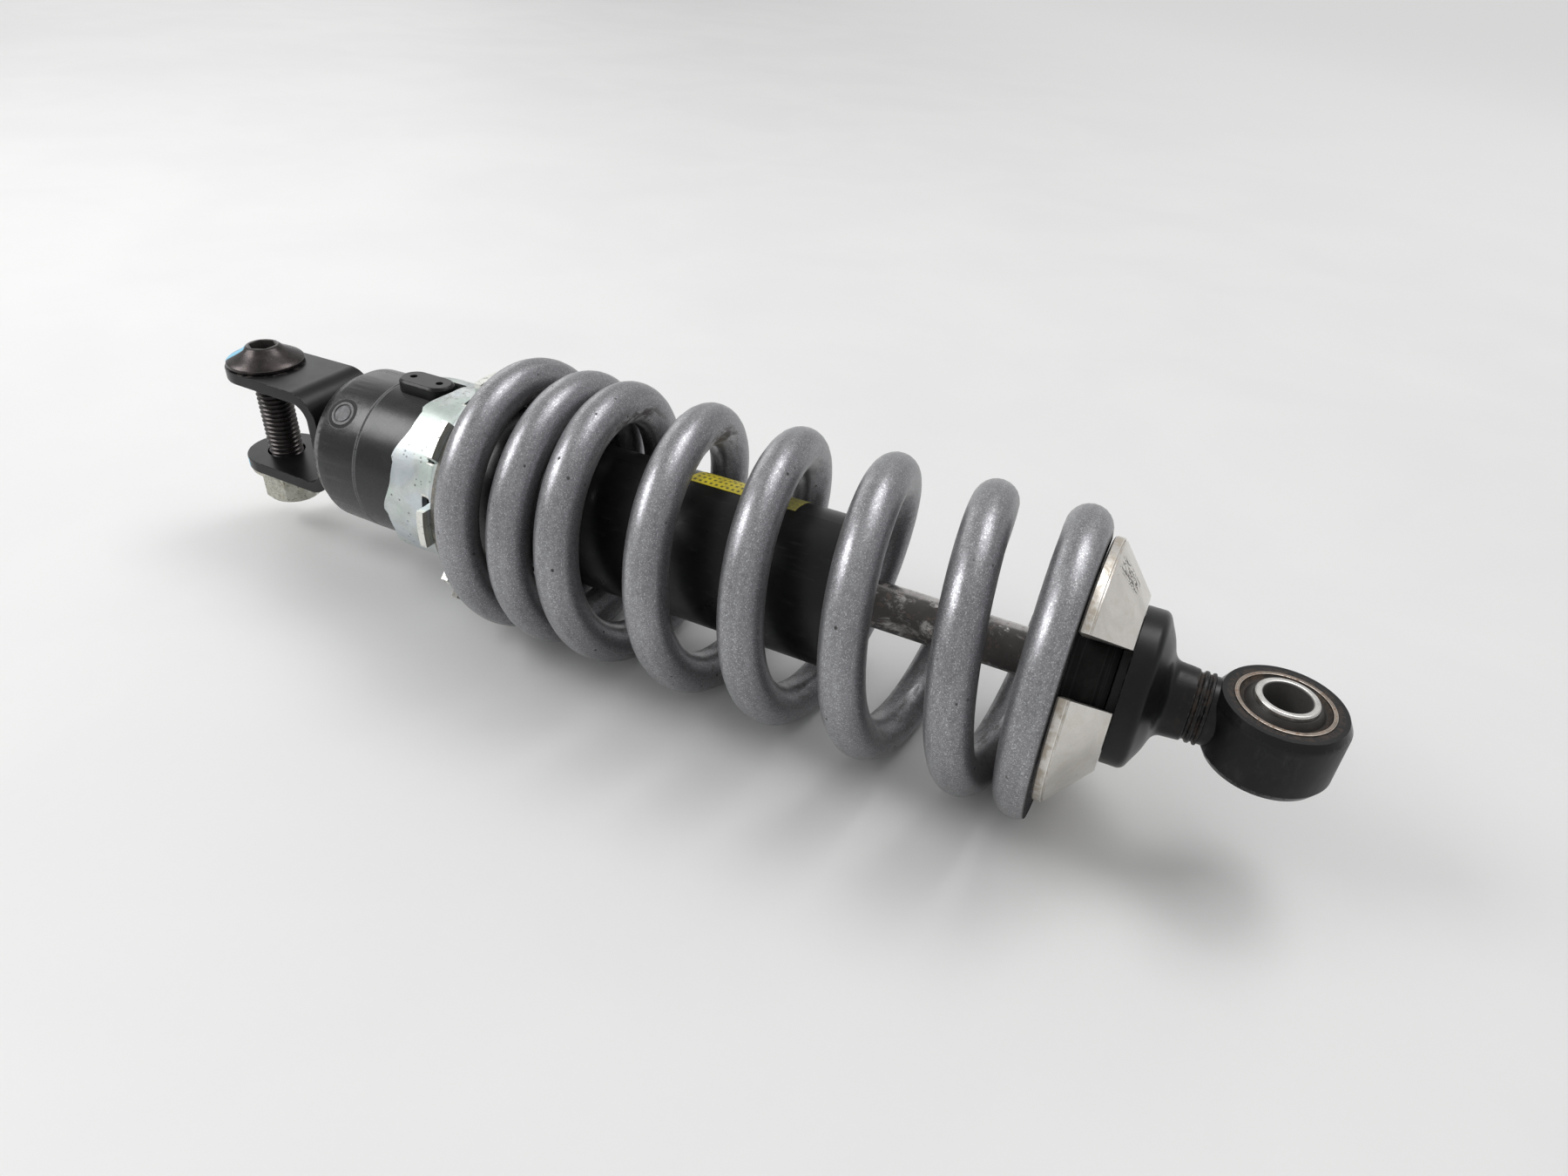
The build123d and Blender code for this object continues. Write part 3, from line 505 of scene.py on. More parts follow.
@dataclass(frozen=True)
class EyePaint(BlackPaint):
    """Black paint of the eye, polished on its chamfers and dull on its wall."""

    name: str = "eye_black"
    roughness: float = 0.40
    half: float = 9.7
    chamfer: float = 2.6

    def layers(self, place: Place) -> list[Layer]:
        """The black paint's layers, the smoother chamfer and the dusty lower wall."""
        level = abs(place.z)
        slope = level.near(self.half - self.chamfer / 2, self.chamfer / 2 - 0.2, 0.2)
        dusty = place.at.stretched(1, 1, 0.4).noise(3.0, 5.0, 0.7).rise(0.5, 0.75)
        rim = level.rise(self.half - 0.1, self.half) * place.beside(0.0).near(13.4, 0.6, 0.4)
        grime = place.at.noise(1.4, 4.0, 0.7).rise(0.42, 0.6)
        return super().layers(place) + [
            Layer(slope * 0.8, (0.007, 0.007, 0.0075), 0.24, 0.0),
            Layer(level.fall(6.0, 7.0) * dusty * 0.4, (0.036, 0.035, 0.034), 0.6, 0.0),
            Layer(rim * grime * 0.5, (0.075, 0.055, 0.042), 0.8, 0.0),
        ]


@dataclass(frozen=True)
class BlackOxide(Finish):
    """Glossy black oxide of the bolt, with a blue paint mark on the flange."""

    name: str = "black_oxide"
    slot: str = "black_oxide"
    light: Colour = (0.060, 0.050, 0.049)
    dark: Colour = (0.024, 0.021, 0.021)
    metallic: float = 0.80
    roughness: float = 0.27
    patch: float = 4.0
    grain: float = 0.3
    clevis: float = -350.0
    seat: float = 19.5
    mark: float = 216.0

    def layers(self, place: Place) -> list[Layer]:
        """Bright thread crests, darker thread roots, edge shine, a darker socket and the blue mark."""
        patchy = place.at.noise(2.6, 5.0, 0.7, 0.4)
        out = place.beside(self.clevis)
        level = place.z - self.seat
        shank = level.fall(-0.6, -0.3)
        crest = shank * out.rise(5.65, 5.9)
        root = shank * out.fall(5.15, 5.5)
        socket = out.fall(4.6, 4.9) * level.rise(1.0, 1.5)
        along, across = place.bearing(self.clevis, self.mark)
        mark = along.rise(5.2, 6.2) * abs(across).fall(2.0, 3.0) * level.rise(0.1, 0.4)
        streak = place.at.stretched(1, 3, 1).noise(1.0, 4.0, 0.8)
        return [
            Layer(crest * 0.4, (0.115, 0.110, 0.106), 0.34, 0.9),
            Layer(root * 0.8, (0.020, 0.018, 0.017), 0.6, 0.2),
            Layer(socket * 0.7, (0.030, 0.026, 0.024), 0.6, 0.2),
            Layer(place.wear * 0.35, (0.24, 0.225, 0.22), 0.25, 1.0),
            Layer(streak.rise(0.6, 0.7) * level.rise(-0.5, 0.0) * 0.35, (0.20, 0.18, 0.17), 0.35, 0.9),
            Layer(mark * patchy.rise(0.18, 0.34), (0.22, 0.52, 0.70), 0.45, 0.0, 0.03),
        ]


@dataclass(frozen=True)
class ZincPlate(Finish):
    """Pale zinc plating with faint green and blue tints, dark pits and dirt."""

    name: str = "zinc_plate"
    slot: str = "zinc_plate"
    light: Colour = (0.66, 0.695, 0.680)
    dark: Colour = (0.45, 0.485, 0.475)
    metallic: float = 0.9
    roughness: float = 0.37
    spread: float = 0.10
    patch: float = 7.0
    grain: float = 0.5
    slots: int = 8
    slot_sector: float = 1.5
    slot_half: float = 12.2
    slot_x: Point = (-254.7, -249.8)
    wall: float = 30.6
    lug_face: float = 36.6

    def layers(self, place: Place) -> list[Layer]:
        """Tints, worn bright edges, pits, cut walls of the slots and dirt from above."""
        tint = place.at.noise(11.0, 2.0, 0.5)
        pits = place.at.specks(2.2, 0.5, 0.50) * place.sector.fall(20, 60)
        fine = place.at.specks(0.9, 0.22, 0.45)
        dirt = place.at.noise(2.2, 6.0, 0.75).rise(0.5, 0.66) * place.sector.rise(55, 95)
        pitch = 360 / self.slots
        turn = (place.sector - self.slot_sector).math("WRAP", pitch / 2, -pitch / 2)
        start, end = self.slot_x
        walls = abs(turn).near(self.slot_half, 0.9, 0.5) * place.x.rise(start - 0.3, start)
        walls = walls * place.x.fall(end, end + 0.8) * place.radius.fall(self.wall - 0.4, self.wall)
        walls = walls.math("MAXIMUM", place.radius.rise(self.lug_face - 0.5, self.lug_face))
        ragged = place.at.stretched(0.5, 2, 2).noise(0.7, 4.0, 0.8)
        return [
            Layer(tint.rise(0.48, 0.62) * 0.35, (0.50, 0.63, 0.56), 0.34, 0.9),
            Layer(tint.fall(0.38, 0.52) * 0.30, (0.52, 0.59, 0.70), 0.34, 0.9),
            Layer(walls * ragged.rise(0.25, 0.5), (0.80, 0.80, 0.75), 0.40, 1.0, 0.05),
            Layer(walls * ragged.fall(0.32, 0.42) * 0.7, (0.10, 0.095, 0.085), 0.7, 0.3, -0.05),
            Layer(place.wear * 0.6, (0.86, 0.87, 0.86), 0.25, 1.0),
            Layer(dirt * 0.75, (0.17, 0.165, 0.15), 0.75, 0.2),
            Layer(pits * 0.8, (0.10, 0.10, 0.10), 0.8, 0.2, -0.03),
            Layer(fine * 0.35, (0.30, 0.31, 0.30), 0.7, 0.4, -0.01),
        ]


@dataclass(frozen=True)
class ZincNut(ZincPlate):
    """Zinc of the nut, yellowish and speckled."""

    name: str = "zinc_nut"
    light: Colour = (0.60, 0.59, 0.53)
    dark: Colour = (0.34, 0.34, 0.295)
    patch: float = 3.0

    def layers(self, place: Place) -> list[Layer]:
        """Dark speckles, a bright flange edge and yellow stains."""
        stain = place.at.noise(2.4, 5.0, 0.7)
        return [
            Layer(stain.rise(0.5, 0.64) * 0.45, (0.42, 0.38, 0.27), 0.6, 0.5),
            Layer(place.at.specks(1.1, 0.35, 0.55) * 0.7, (0.13, 0.125, 0.11), 0.8, 0.2, -0.02),
            Layer(place.wear * 0.6, (0.88, 0.88, 0.85), 0.24, 1.0),
        ]


@dataclass(frozen=True)
class SpringPaint(Finish):
    """Metallic grey spring paint with a sparkling grain, read along the wire."""

    name: str = "spring_paint"
    slot: str = "spring_paint"
    spread: float = 0.10
    light: Colour = (0.370, 0.372, 0.388)
    dark: Colour = (0.160, 0.158, 0.168)
    metallic: float = 0.75
    roughness: float = 0.36
    grain: float = 0.40
    grain_height: float = 0.010
    ends: Point = (-244.3, -52.2)

    def tone(self, place: Place) -> Value:
        """Two sizes of flake over slow streaks along the wire."""
        wire = place.wire()
        flake = wire.noise(self.grain, 1.0, 0.6).rise(0.28, 0.72)
        coarse = wire.noise(1.3, 2.0, 0.6).rise(0.3, 0.7)
        streak = wire.stretched(0.12, 1, 1).noise(4.0, 4.0, 0.6).rise(0.3, 0.7)
        return flake * 0.42 + coarse * 0.28 + streak * 0.30

    def height(self, place: Place) -> Value:
        """Orange peel of the paint with fine flake on top."""
        wire = place.wire()
        return wire.noise(0.5, 2.0, 0.6) * self.grain_height + wire.noise(2.4, 1.0) * 0.02

    def layers(self, place: Place) -> list[Layer]:
        """Glints, painted shade on the side of each turn that faces the eye, brown dirt inside the coils,
        dark smears, chips and dark ground ends.
        """
        wire = place.wire()
        _, out, beside = wire.split()
        inward, inner, eyeward_painted_shade = out.fall(-4.5, 1.0), out.fall(-3.0, 3.5), beside.rise(1.0, 5.5)
        glint = wire.noise(0.34, 0.0).rise(0.62, 0.74)
        soil = wire.stretched(0.3, 1, 1).noise(3.4, 6.0, 0.75, 0.5)
        top = place.z.rise(24, 36) * place.x.fall(-170, -150)
        under = place.z.fall(-34, -22)
        chips = wire.specks(4.2, 0.62, 0.42)
        scrapes = wire.stretched(1.6, 0.35, 0.35).noise(1.6, 4.0, 0.8).rise(0.67, 0.74)
        start, end = self.ends
        ground = place.x.fall(start + 0.05, start + 0.5).math("MAXIMUM", place.x.rise(end - 0.5, end - 0.05))
        return [
            Layer(glint * 0.6, (0.66, 0.66, 0.68), 0.25, 0.9),
            # Painted shade: the side of each turn that faces the eye is tinted a darker violet grey.
            Layer(eyeward_painted_shade * 0.24, (0.085, 0.078, 0.102), 0.42, 0.7),
            Layer(inward * soil.rise(0.42, 0.7) * 0.45, (0.10, 0.092, 0.090), 0.62, 0.1),
            Layer(inner * top * soil.rise(0.44, 0.58) * 0.85, (0.052, 0.040, 0.034), 0.8, 0.0),
            Layer(under * soil.rise(0.52, 0.66) * 0.5, (0.12, 0.105, 0.095), 0.7, 0.1),
            Layer(scrapes * 0.5, (0.42, 0.41, 0.40), 0.5, 0.4, -0.01),
            Layer(chips * 0.9, (0.020, 0.018, 0.017), 0.7, 0.1, -0.05),
            Layer(ground * 0.9, (0.06, 0.055, 0.05), 0.6, 0.5),
        ]


@dataclass(frozen=True)
class TurnedAluminium(Finish):
    """Bare turned aluminium with fine tool lines, pits and warm dirt."""

    name: str = "turned_aluminium"
    slot: str = "bare_aluminium"
    light: Colour = (0.80, 0.775, 0.735)
    dark: Colour = (0.65, 0.625, 0.585)
    metallic: float = 0.95
    roughness: float = 0.33
    spread: float = 0.07
    face: float = -52.0
    scribble: Point = (-45.0, 92.0)

    def height(self, place: Place) -> Value:
        """Fine tool lines round the axis over a light grain."""
        line = (place.x * 9.0 + place.radius * 5.0 + place.at.noise(6.0) * 2.0).math("SINE")
        return line * 0.0016 + place.at.noise(0.3, 2.0, 0.7) * 0.006

    def layers(self, place: Place) -> list[Layer]:
        """Warm stains, rim dirt, ink scribble, pits and bright edges."""
        stain = place.at.noise(4.5, 5.0, 0.7, 0.4)
        flange = place.x.fall(self.face + 2.7, self.face + 3.4)
        ink_x, ink_sector = self.scribble
        spot = place.x.near(ink_x, 2.4, 0.9) * place.sector.near(ink_sector, 5, 3)
        line = place.at.stretched(0.7, 0.9, 0.4).noise(1.7, 1.0, 0.5, 1.6).near(0.5, 0.034, 0.03)
        return [
            Layer(stain.rise(0.5, 0.68) * 0.35, (0.62, 0.56, 0.48), 0.42, 0.8),
            Layer(flange * stain.rise(0.4, 0.6) * 0.65, (0.42, 0.35, 0.26), 0.55, 0.5),
            Layer(place.wear * 0.7, (0.95, 0.94, 0.92), 0.22, 1.0),
            Layer(place.at.specks(2.4, 0.28, 0.40) * 0.7, (0.14, 0.12, 0.10), 0.8, 0.2, -0.02),
            Layer(spot * line * 0.9, (0.045, 0.042, 0.045), 0.6, 0.1),
        ]


@dataclass(frozen=True)
class HardChrome(Finish):
    """Ground chrome of the rod with dark patches, partly dirt and partly painted reflection of the coils."""

    name: str = "hard_chrome"
    slot: str = "hard_chrome"
    light: Colour = (0.66, 0.64, 0.62)
    dark: Colour = (0.44, 0.42, 0.41)
    metallic: float = 1.0
    roughness: float = 0.20
    patch: float = 6.0
    grain_height: float = 0.002

    def layers(self, place: Place) -> list[Layer]:
        """Dark patches below the clean top, partly oil dirt and partly painted reflection, brown stains and
        dry specks.
        """
        smear = place.at.stretched(0.6, 1, 1).noise(5.0, 6.0, 0.72, 0.5)
        stain = place.at.noise(2.4, 5.0, 0.75)
        return [
            # Partly painted reflection, partly oil dirt: dark patches stand for the coils mirrored in the
            # chrome and cover all but the rod's top.
            Layer(smear.rise(0.30, 0.48) * place.sector.fall(78, 96) * 0.92, (0.022, 0.019, 0.017), 0.5, 0.2),
            Layer(stain.rise(0.55, 0.66) * 0.6, (0.17, 0.12, 0.095), 0.6, 0.3),
            Layer(place.at.specks(1.6, 0.4, 0.5) * 0.7, (0.04, 0.034, 0.03), 0.7, 0.1),
        ]


@dataclass(frozen=True)
class BrightSteel(Finish):
    """Turned steel with light rust in its corners."""

    name: str = "bright_steel"
    slot: str = "bright_steel"
    light: Colour = (0.66, 0.65, 0.63)
    dark: Colour = (0.47, 0.46, 0.44)
    metallic: float = 1.0
    roughness: float = 0.33
    patch: float = 3.5
    rust: float = 0.25
    shine: float = 0.6

    def layers(self, place: Place) -> list[Layer]:
        """Turning marks, rust stains, bright edges and painted shade inside the eye sleeve's bore."""
        stain = place.at.noise(1.8, 5.0, 0.75)
        lines = (place.beside(0.0) * 16.0).math("SINE").rise(-0.2, 1.0)
        bore = place.beside(0.0).fall(6.15, 6.4)
        return [
            Layer(lines * 0.25, (0.80, 0.79, 0.77), 0.26, 1.0),
            Layer(stain.rise(0.5, 0.64) * self.rust, (0.16, 0.085, 0.045), 0.75, 0.2),
            Layer(place.wear * self.shine, (0.86, 0.85, 0.83), 0.22, 1.0),
            Layer(place.at.specks(1.2, 0.2, 0.4) * 0.5, (0.09, 0.07, 0.055), 0.8, 0.2),
            # Painted shade: the inside of the eye sleeve's bore is darkened.
            Layer(bore * 0.9, (0.030, 0.028, 0.027), 0.6, 0.2),
        ]


@dataclass(frozen=True)
class Rubber(Finish):
    """Dull black rubber with fine dust."""

    name: str = "rubber"
    slot: str = "rubber"
    light: Colour = (0.014, 0.014, 0.014)
    dark: Colour = (0.006, 0.006, 0.006)
    roughness: float = 0.78
    grain: float = 0.7
    grain_height: float = 0.03
    specular: float = 0.3

    def layers(self, place: Place) -> list[Layer]:
        """Dust and a greyer worn edge."""
        dust = place.at.noise(2.5, 5.0, 0.7).rise(0.5, 0.7)
        return [
            Layer(dust * 0.2, (0.045, 0.043, 0.040), 0.85, 0.0),
            Layer(place.wear * 0.3, (0.05, 0.05, 0.05), 0.6, 0.0),
            Layer(place.at.specks(1.8, 0.2, 0.4) * 0.5, (0.16, 0.15, 0.14), 0.9, 0.0),
        ]


@dataclass(frozen=True)
class BushRubber(Rubber):
    """Aged rubber of the bush, brown with grease at its rims."""

    name: str = "bush_rubber"
    slot: str = "bush_rubber"
    light: Colour = (0.019, 0.014, 0.011)
    dark: Colour = (0.007, 0.006, 0.005)
    roughness: float = 0.6
    patch: float = 3.0
    specular: float = 0.45

    def layers(self, place: Place) -> list[Layer]:
        """Rust brought from the shell and a wet dark ring by the sleeve."""
        out = place.beside(0.0)
        patchy = place.at.noise(1.7, 5.0, 0.7)
        rust = out.rise(9.8, 11.0) * patchy.rise(0.42, 0.62)
        return super().layers(place) + [
            Layer(rust * 0.6, (0.105, 0.066, 0.040), 0.75, 0.1, 0.02),
            Layer(out.fall(8.5, 9.4) * 0.6, (0.008, 0.007, 0.006), 0.35, 0.0),
        ]


@dataclass(frozen=True)
class YellowFoil(Finish):
    """Yellow foil label with a thin border and a row of plain ticks."""

    name: str = "yellow_foil"
    slot: str = "label_yellow"
    light: Colour = (0.72, 0.60, 0.035)
    dark: Colour = (0.56, 0.46, 0.03)
    roughness: float = 0.42
    patch: float = 5.0
    ends: Point = (-175.0, -158.0)
    middle: float = 106.0
    half: float = 17.0

    def layers(self, place: Place) -> list[Layer]:
        """Border, ticks, dirt and a painted shadow over the far end."""
        start, end = self.ends
        rows = abs(place.sector - self.middle)
        length = place.x.near((start + end) / 2, (end - start) / 2 - 1.0, 0.05)
        border = length.math("MINIMUM", rows.fall(self.half - 2.4, self.half - 2.2))
        ticks = (place.x * 3.4).math("SINE").rise(0.0, 0.25)
        ticks = ticks * (place.sector * 0.9).math("SINE").rise(0.0, 0.3)
        dirt = place.at.noise(2.0, 5.0, 0.7)
        # Painted shadow: the label's far end, behind a turn of the spring, is darkened olive.
        far_end_painted_shadow = place.x.rise(end - 11, end - 7) * dirt.rise(0.2, 0.45)
        return [
            Layer(border * ticks * 0.85, (0.02, 0.02, 0.018), 0.5, 0.0),
            Layer(dirt.rise(0.52, 0.66) * 0.5, (0.12, 0.10, 0.04), 0.7, 0.0),
            Layer(far_end_painted_shadow * 0.9, (0.10, 0.095, 0.025), 0.6, 0.0),
        ]


class Stock(Enum):
    """Finishes of the pieces that keep their CAD shape, by material slot."""

    SEAL = Finish(
        "seal_plastic", "seal_plastic", (0.15, 0.125, 0.11), (0.09, 0.075, 0.065), roughness=0.6, patch=4.0
    )
    SINTER = Finish(
        "sintered_steel", "sintered_steel", (0.32, 0.31, 0.30), (0.20, 0.195, 0.19),
        metallic=0.9, roughness=0.55, grain=0.3, grain_height=0.02,
    )
    INNER_ALUMINIUM = Finish(
        "inner_aluminium", "bare_aluminium", (0.80, 0.79, 0.77), (0.68, 0.67, 0.65),
        metallic=1.0, roughness=0.34, patch=6.0,
    )


# ---- bench work
class Bench:
    """Modelling steps that the pieces share, all on the active mesh."""

    @staticmethod
    def clear() -> None:
        """Leaves edit mode and deselects everything."""
        if bpy.context.object and bpy.context.object.mode != "OBJECT":
            bpy.ops.object.mode_set(mode="OBJECT")
        bpy.ops.object.select_all(action="DESELECT")

    @staticmethod
    def take(obj: Thing) -> None:
        """Makes an object the only selected one."""
        Bench.clear()
        obj.select_set(True)
        bpy.context.view_layer.objects.active = obj

    @staticmethod
    def edit(obj: Thing) -> None:
        """Opens an object in edit mode with all of it selected."""
        Bench.take(obj)
        bpy.ops.object.mode_set(mode="EDIT")
        bpy.ops.mesh.select_mode(type="VERT")
        bpy.ops.mesh.select_all(action="SELECT")

    @staticmethod
    def apply(obj: Thing, kind: str, **settings: object) -> None:
        """Adds a modifier and applies it.

        Args:
            obj: the mesh.
            kind: the modifier's type.
            settings: the modifier's attributes.
        """
        Bench.take(obj)
        made = obj.modifiers.new(kind.lower(), kind)
        for key, value in settings.items():
            setattr(made, key, value)
        bpy.ops.object.modifier_apply(modifier=made.name)

    @staticmethod
    def clean(obj: Thing) -> None:
        """Merges doubles and turns every face outwards."""
        Bench.edit(obj)
        bpy.ops.mesh.remove_doubles(threshold=MERGE)
        bpy.ops.mesh.normals_make_consistent(inside=False)
        Bench.clear()

    @staticmethod
    def smooth(obj: Thing, degrees: float = 35.0) -> None:
        """Shades smooth across soft edges."""
        Bench.take(obj)
        bpy.ops.object.transform_apply(location=True, rotation=True, scale=True)
        bpy.ops.object.shade_smooth_by_angle(angle=math.radians(degrees))

    @staticmethod
    def soften(obj: Thing, width: float, degrees: float = 32.0) -> None:
        """Rounds the sharp edges and stores how far each point is worn.

        Args:
            obj: the mesh.
            width: width of the rounding in millimetres.
            degrees: edges sharper than this are rounded.
        """
        obj.data.materials.clear()
        for _ in range(2):
            obj.data.materials.append(None)
        Bench.apply(
            obj, "BEVEL", width=width * MM, segments=2, limit_method="ANGLE",
            angle_limit=math.radians(degrees), material=1, use_clamp_overlap=True, miter_outer="MITER_ARC",
        )
        mesh = obj.data
        worn = np.ones(len(mesh.vertices), np.float32)
        for face in mesh.polygons:
            if face.material_index == 0:
                worn[list(face.vertices)] = 0.0
            face.material_index = 0
        mesh.attributes.new("wear", "FLOAT", "POINT").data.foreach_set("value", worn)
        mesh.materials.clear()

    @staticmethod
    def lathe(
        name: str, profile: Sequence[Point], centre: Vector, axis: Vector, width: float = 0.0
    ) -> Thing:
        """Turns a profile round an axis.

        Args:
            name: the piece's name.
            profile: (radius, height) points in millimetres, traced one after another.
            centre: a point on the axis, from which heights count.
            axis: unit direction of the axis.
            width: rounding of sharp edges in millimetres, if any.

        Returns:
            The closed, smoothed mesh.
        """
        side = axis.orthogonal().normalized()
        points = [centre + (side * radius + axis * height) * MM for radius, height in profile]
        Bench.clear()
        bpy.ops.mesh.primitive_plane_add(size=MM)
        obj = bpy.context.object
        obj.name = obj.data.name = name
        Bench.edit(obj)
        bpy.ops.mesh.merge(type="CENTER")
        bpy.ops.transform.translate(value=points[0])
        for here, there in zip(points, points[1:]):
            bpy.ops.mesh.extrude_vertices_move(TRANSFORM_OT_translate={"value": there - here})
        bpy.ops.mesh.select_all(action="SELECT")
        bpy.ops.mesh.spin(steps=LATHE_STEPS, angle=2 * math.pi, center=centre, axis=axis)
        bpy.ops.mesh.select_all(action="SELECT")
        Bench.clean(obj)
        if width:
            Bench.soften(obj, width)
        Bench.smooth(obj)
        return obj

    @staticmethod
    def rounded(node: str, name: str, width: float) -> Thing:
        """Copies a CAD node's shape and rounds its edges.

        Args:
            node: the CAD node.
            name: the new piece's name.
            width: rounding in millimetres.

        Returns:
            The new piece.
        """
        obj = bpy.data.objects.new(name, frame["nodes"][node].data.copy())
        obj.data.name = name
        bpy.context.scene.collection.objects.link(obj)
        Bench.take(obj)
        bpy.ops.mesh.customdata_custom_splitnormals_clear()
        Bench.edit(obj)
        bpy.ops.mesh.remove_doubles(threshold=MERGE)
        bpy.ops.mesh.dissolve_limited(angle_limit=math.radians(FLAT_DEGREES))
        Bench.clear()
        Bench.soften(obj, width)
        Bench.smooth(obj)
        Bench.apply(obj, "WEIGHTED_NORMAL", keep_sharp=True, weight=60)
        return obj


class Paintshop:
    """Makes each finish once and puts it on pieces and nodes."""

    def __init__(self) -> None:
        """Starts with no materials made."""
        self.made: dict[str, bpy.types.Material] = {}

    def material(self, finish: Finish) -> bpy.types.Material:
        """The finish's material, made the first time it is asked for."""
        if finish.name not in self.made:
            self.made[finish.name] = finish.material()
        return self.made[finish.name]

    def piece(self, obj: Thing, finish: Finish, body: str, *nodes: str) -> None:
        """Dresses a new piece and puts it in place of its CAD nodes.

        Args:
            obj: the piece.
            finish: its finish.
            body: the CAD body that it rides on.
            nodes: the CAD nodes that it stands for.
        """
        obj.data.materials.clear()
        obj.data.materials.append(self.material(finish))
        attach(obj, body)
        if nodes:
            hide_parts(*nodes)
        log.info("%s: %d faces in %s", obj.name, len(obj.data.polygons), finish.name)

    def rounded(self, node: str, name: str, width: float, finish: Finish, body: str) -> None:
        """Dresses a copy of a CAD node whose edges are rounded, and lets it stand for the node."""
        self.piece(Bench.rounded(node, name, width), finish, body, node)

    def node(self, finish: Finish, *nodes: str) -> None:
        """Gives a finish to nodes that keep their CAD shape."""
        for name in nodes:
            frame["nodes"][name].material_slots[0].material = self.material(finish)
            log.info("%s: CAD shape in %s", name, finish.name)


def middle(node: str) -> Vector:
    """Centre of a CAD node's box."""
    low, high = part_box(node)
    return (low + high) / 2


# ---- clevis end
@dataclass
class ClevisEnd:
    """Bracket, bolt, nut and weld. Sizes are in millimetres."""

    shop: Paintshop
    dome: tuple[Point, ...] = (
        (0, 6.6), (5.0, 6.6), (5.6, 6.42), (6.2, 5.85), (7.0, 5.1), (8.0, 4.45), (9.2, 3.75),
        (10.4, 3.1), (11.5, 2.5), (12.4, 1.95), (13.0, 1.4), (13.0, 0.45), (12.6, 0.02), (0, 0.02),
    )
    socket_flats: float = 8.0
    socket_depth: float = 4.2
    socket_point: float = 1.2
    socket_inset: float = 8.0 / 2.4
    thread_radius: float = 5.95
    thread_depth: float = 0.95
    thread_pitch: float = 1.75
    thread_steps: int = 40
    weld_radius: float = 15.2
    weld_bulk: float = 2.3
    weld_lumps: float = 0.9
    plate: float = 4.2

    def head(self, seat: Vector) -> Thing:
        """Turns the bolt's domed head and sinks its hexagon socket.

        Args:
            seat: centre of the head's underside.

        Returns:
            The head.
        """
        obj = Bench.lathe("bolt_head", self.dome, seat, UP)
        top = max(height for _, height in self.dome)
        Bench.clear()
        bpy.ops.mesh.primitive_cylinder_add(
            vertices=6, radius=self.socket_flats / math.sqrt(3) * MM, depth=2 * self.socket_depth * MM,
            location=seat + UP * (top * MM),
        )
        tool = bpy.context.object
        Bench.edit(tool)
        bpy.ops.mesh.select_mode(type="FACE")
        bpy.ops.mesh.select_all(action="DESELECT")
        bpy.ops.object.mode_set(mode="OBJECT")
        for face in tool.data.polygons:
            face.select = face.normal.z < -0.9
        bpy.ops.object.mode_set(mode="EDIT")
        bpy.ops.mesh.inset(thickness=self.socket_inset * MM)
        bpy.ops.transform.translate(value=(0, 0, -self.socket_point * MM))
        Bench.clear()
        Bench.apply(obj, "BOOLEAN", object=tool, operation="DIFFERENCE", solver="EXACT")
        bpy.data.objects.remove(tool)
        Bench.soften(obj, 0.28, 28)
        Bench.smooth(obj, 40)
        return obj

    def shank(self, seat: Vector, length: float) -> Thing:
        """Winds the bolt's thread and cuts its ends flat.

        Args:
            seat: centre of the head's underside.
            length: length of the shank in metres.

        Returns:
            The threaded shank.
        """
        crest, root, pitch = self.thread_radius, self.thread_radius - self.thread_depth, self.thread_pitch
        tooth = (
            (root, 0.0), (root, 0.12), (crest - 0.1, 0.44), (crest, 0.5),
            (crest, 0.58), (crest - 0.1, 0.64), (root, 0.96), (root, 1.0),
        )
        turns = math.ceil(length / (pitch * MM)) + 2
        low = seat - Vector((0, 0, length + pitch * MM))
        Bench.clear()
        bpy.ops.mesh.primitive_plane_add(size=MM)
        obj = bpy.context.object
        obj.name = obj.data.name = "bolt_thread"
        Bench.edit(obj)
        bpy.ops.mesh.merge(type="CENTER")
        bpy.ops.transform.translate(value=(root * MM, 0, 0))
        for (r0, h0), (r1, h1) in zip(tooth, tooth[1:]):
            step = ((r1 - r0) * MM, 0, (h1 - h0) * pitch * MM)
            bpy.ops.mesh.extrude_vertices_move(TRANSFORM_OT_translate={"value": step})
        Bench.clear()
        Bench.apply(
            obj, "SCREW", axis="Z", angle=2 * math.pi, screw_offset=pitch * MM, iterations=turns,
            steps=self.thread_steps, render_steps=self.thread_steps,
            use_merge_vertices=True, merge_threshold=1e-6,
        )
        obj.location = low
        Bench.take(obj)
        bpy.ops.object.transform_apply(location=True, rotation=True, scale=True)
        for height, upward in ((seat.z, True), (seat.z - length, False)):
            Bench.edit(obj)
            bpy.ops.mesh.bisect(
                plane_co=(seat.x, seat.y, height), plane_no=(0, 0, 1), use_fill=True,
                clear_outer=upward, clear_inner=not upward,
            )
        Bench.clean(obj)
        Bench.smooth(obj, 30)
        return obj

    def weld(self) -> Thing:
        """Lays a lumpy bead between the web and the cap."""
        centre = middle("weld_bead")
        Bench.clear()
        bpy.ops.mesh.primitive_torus_add(
            location=centre, rotation=(0, math.pi / 2, 0), major_segments=72, minor_segments=14,
            major_radius=self.weld_radius * MM, minor_radius=self.weld_bulk * MM,
        )
        obj = bpy.context.object
        obj.name = obj.data.name = "weld_seam"
        Bench.edit(obj)
        bpy.ops.transform.vertex_random(offset=self.weld_lumps * MM, uniform=0.2, normal=0.8, seed=7)
        bpy.ops.mesh.vertices_smooth(factor=0.6, repeat=2)
        Bench.clear()
        Bench.apply(obj, "SUBSURF", levels=2, render_levels=2)
        Bench.clean(obj)
        Bench.smooth(obj, 80)
        return obj

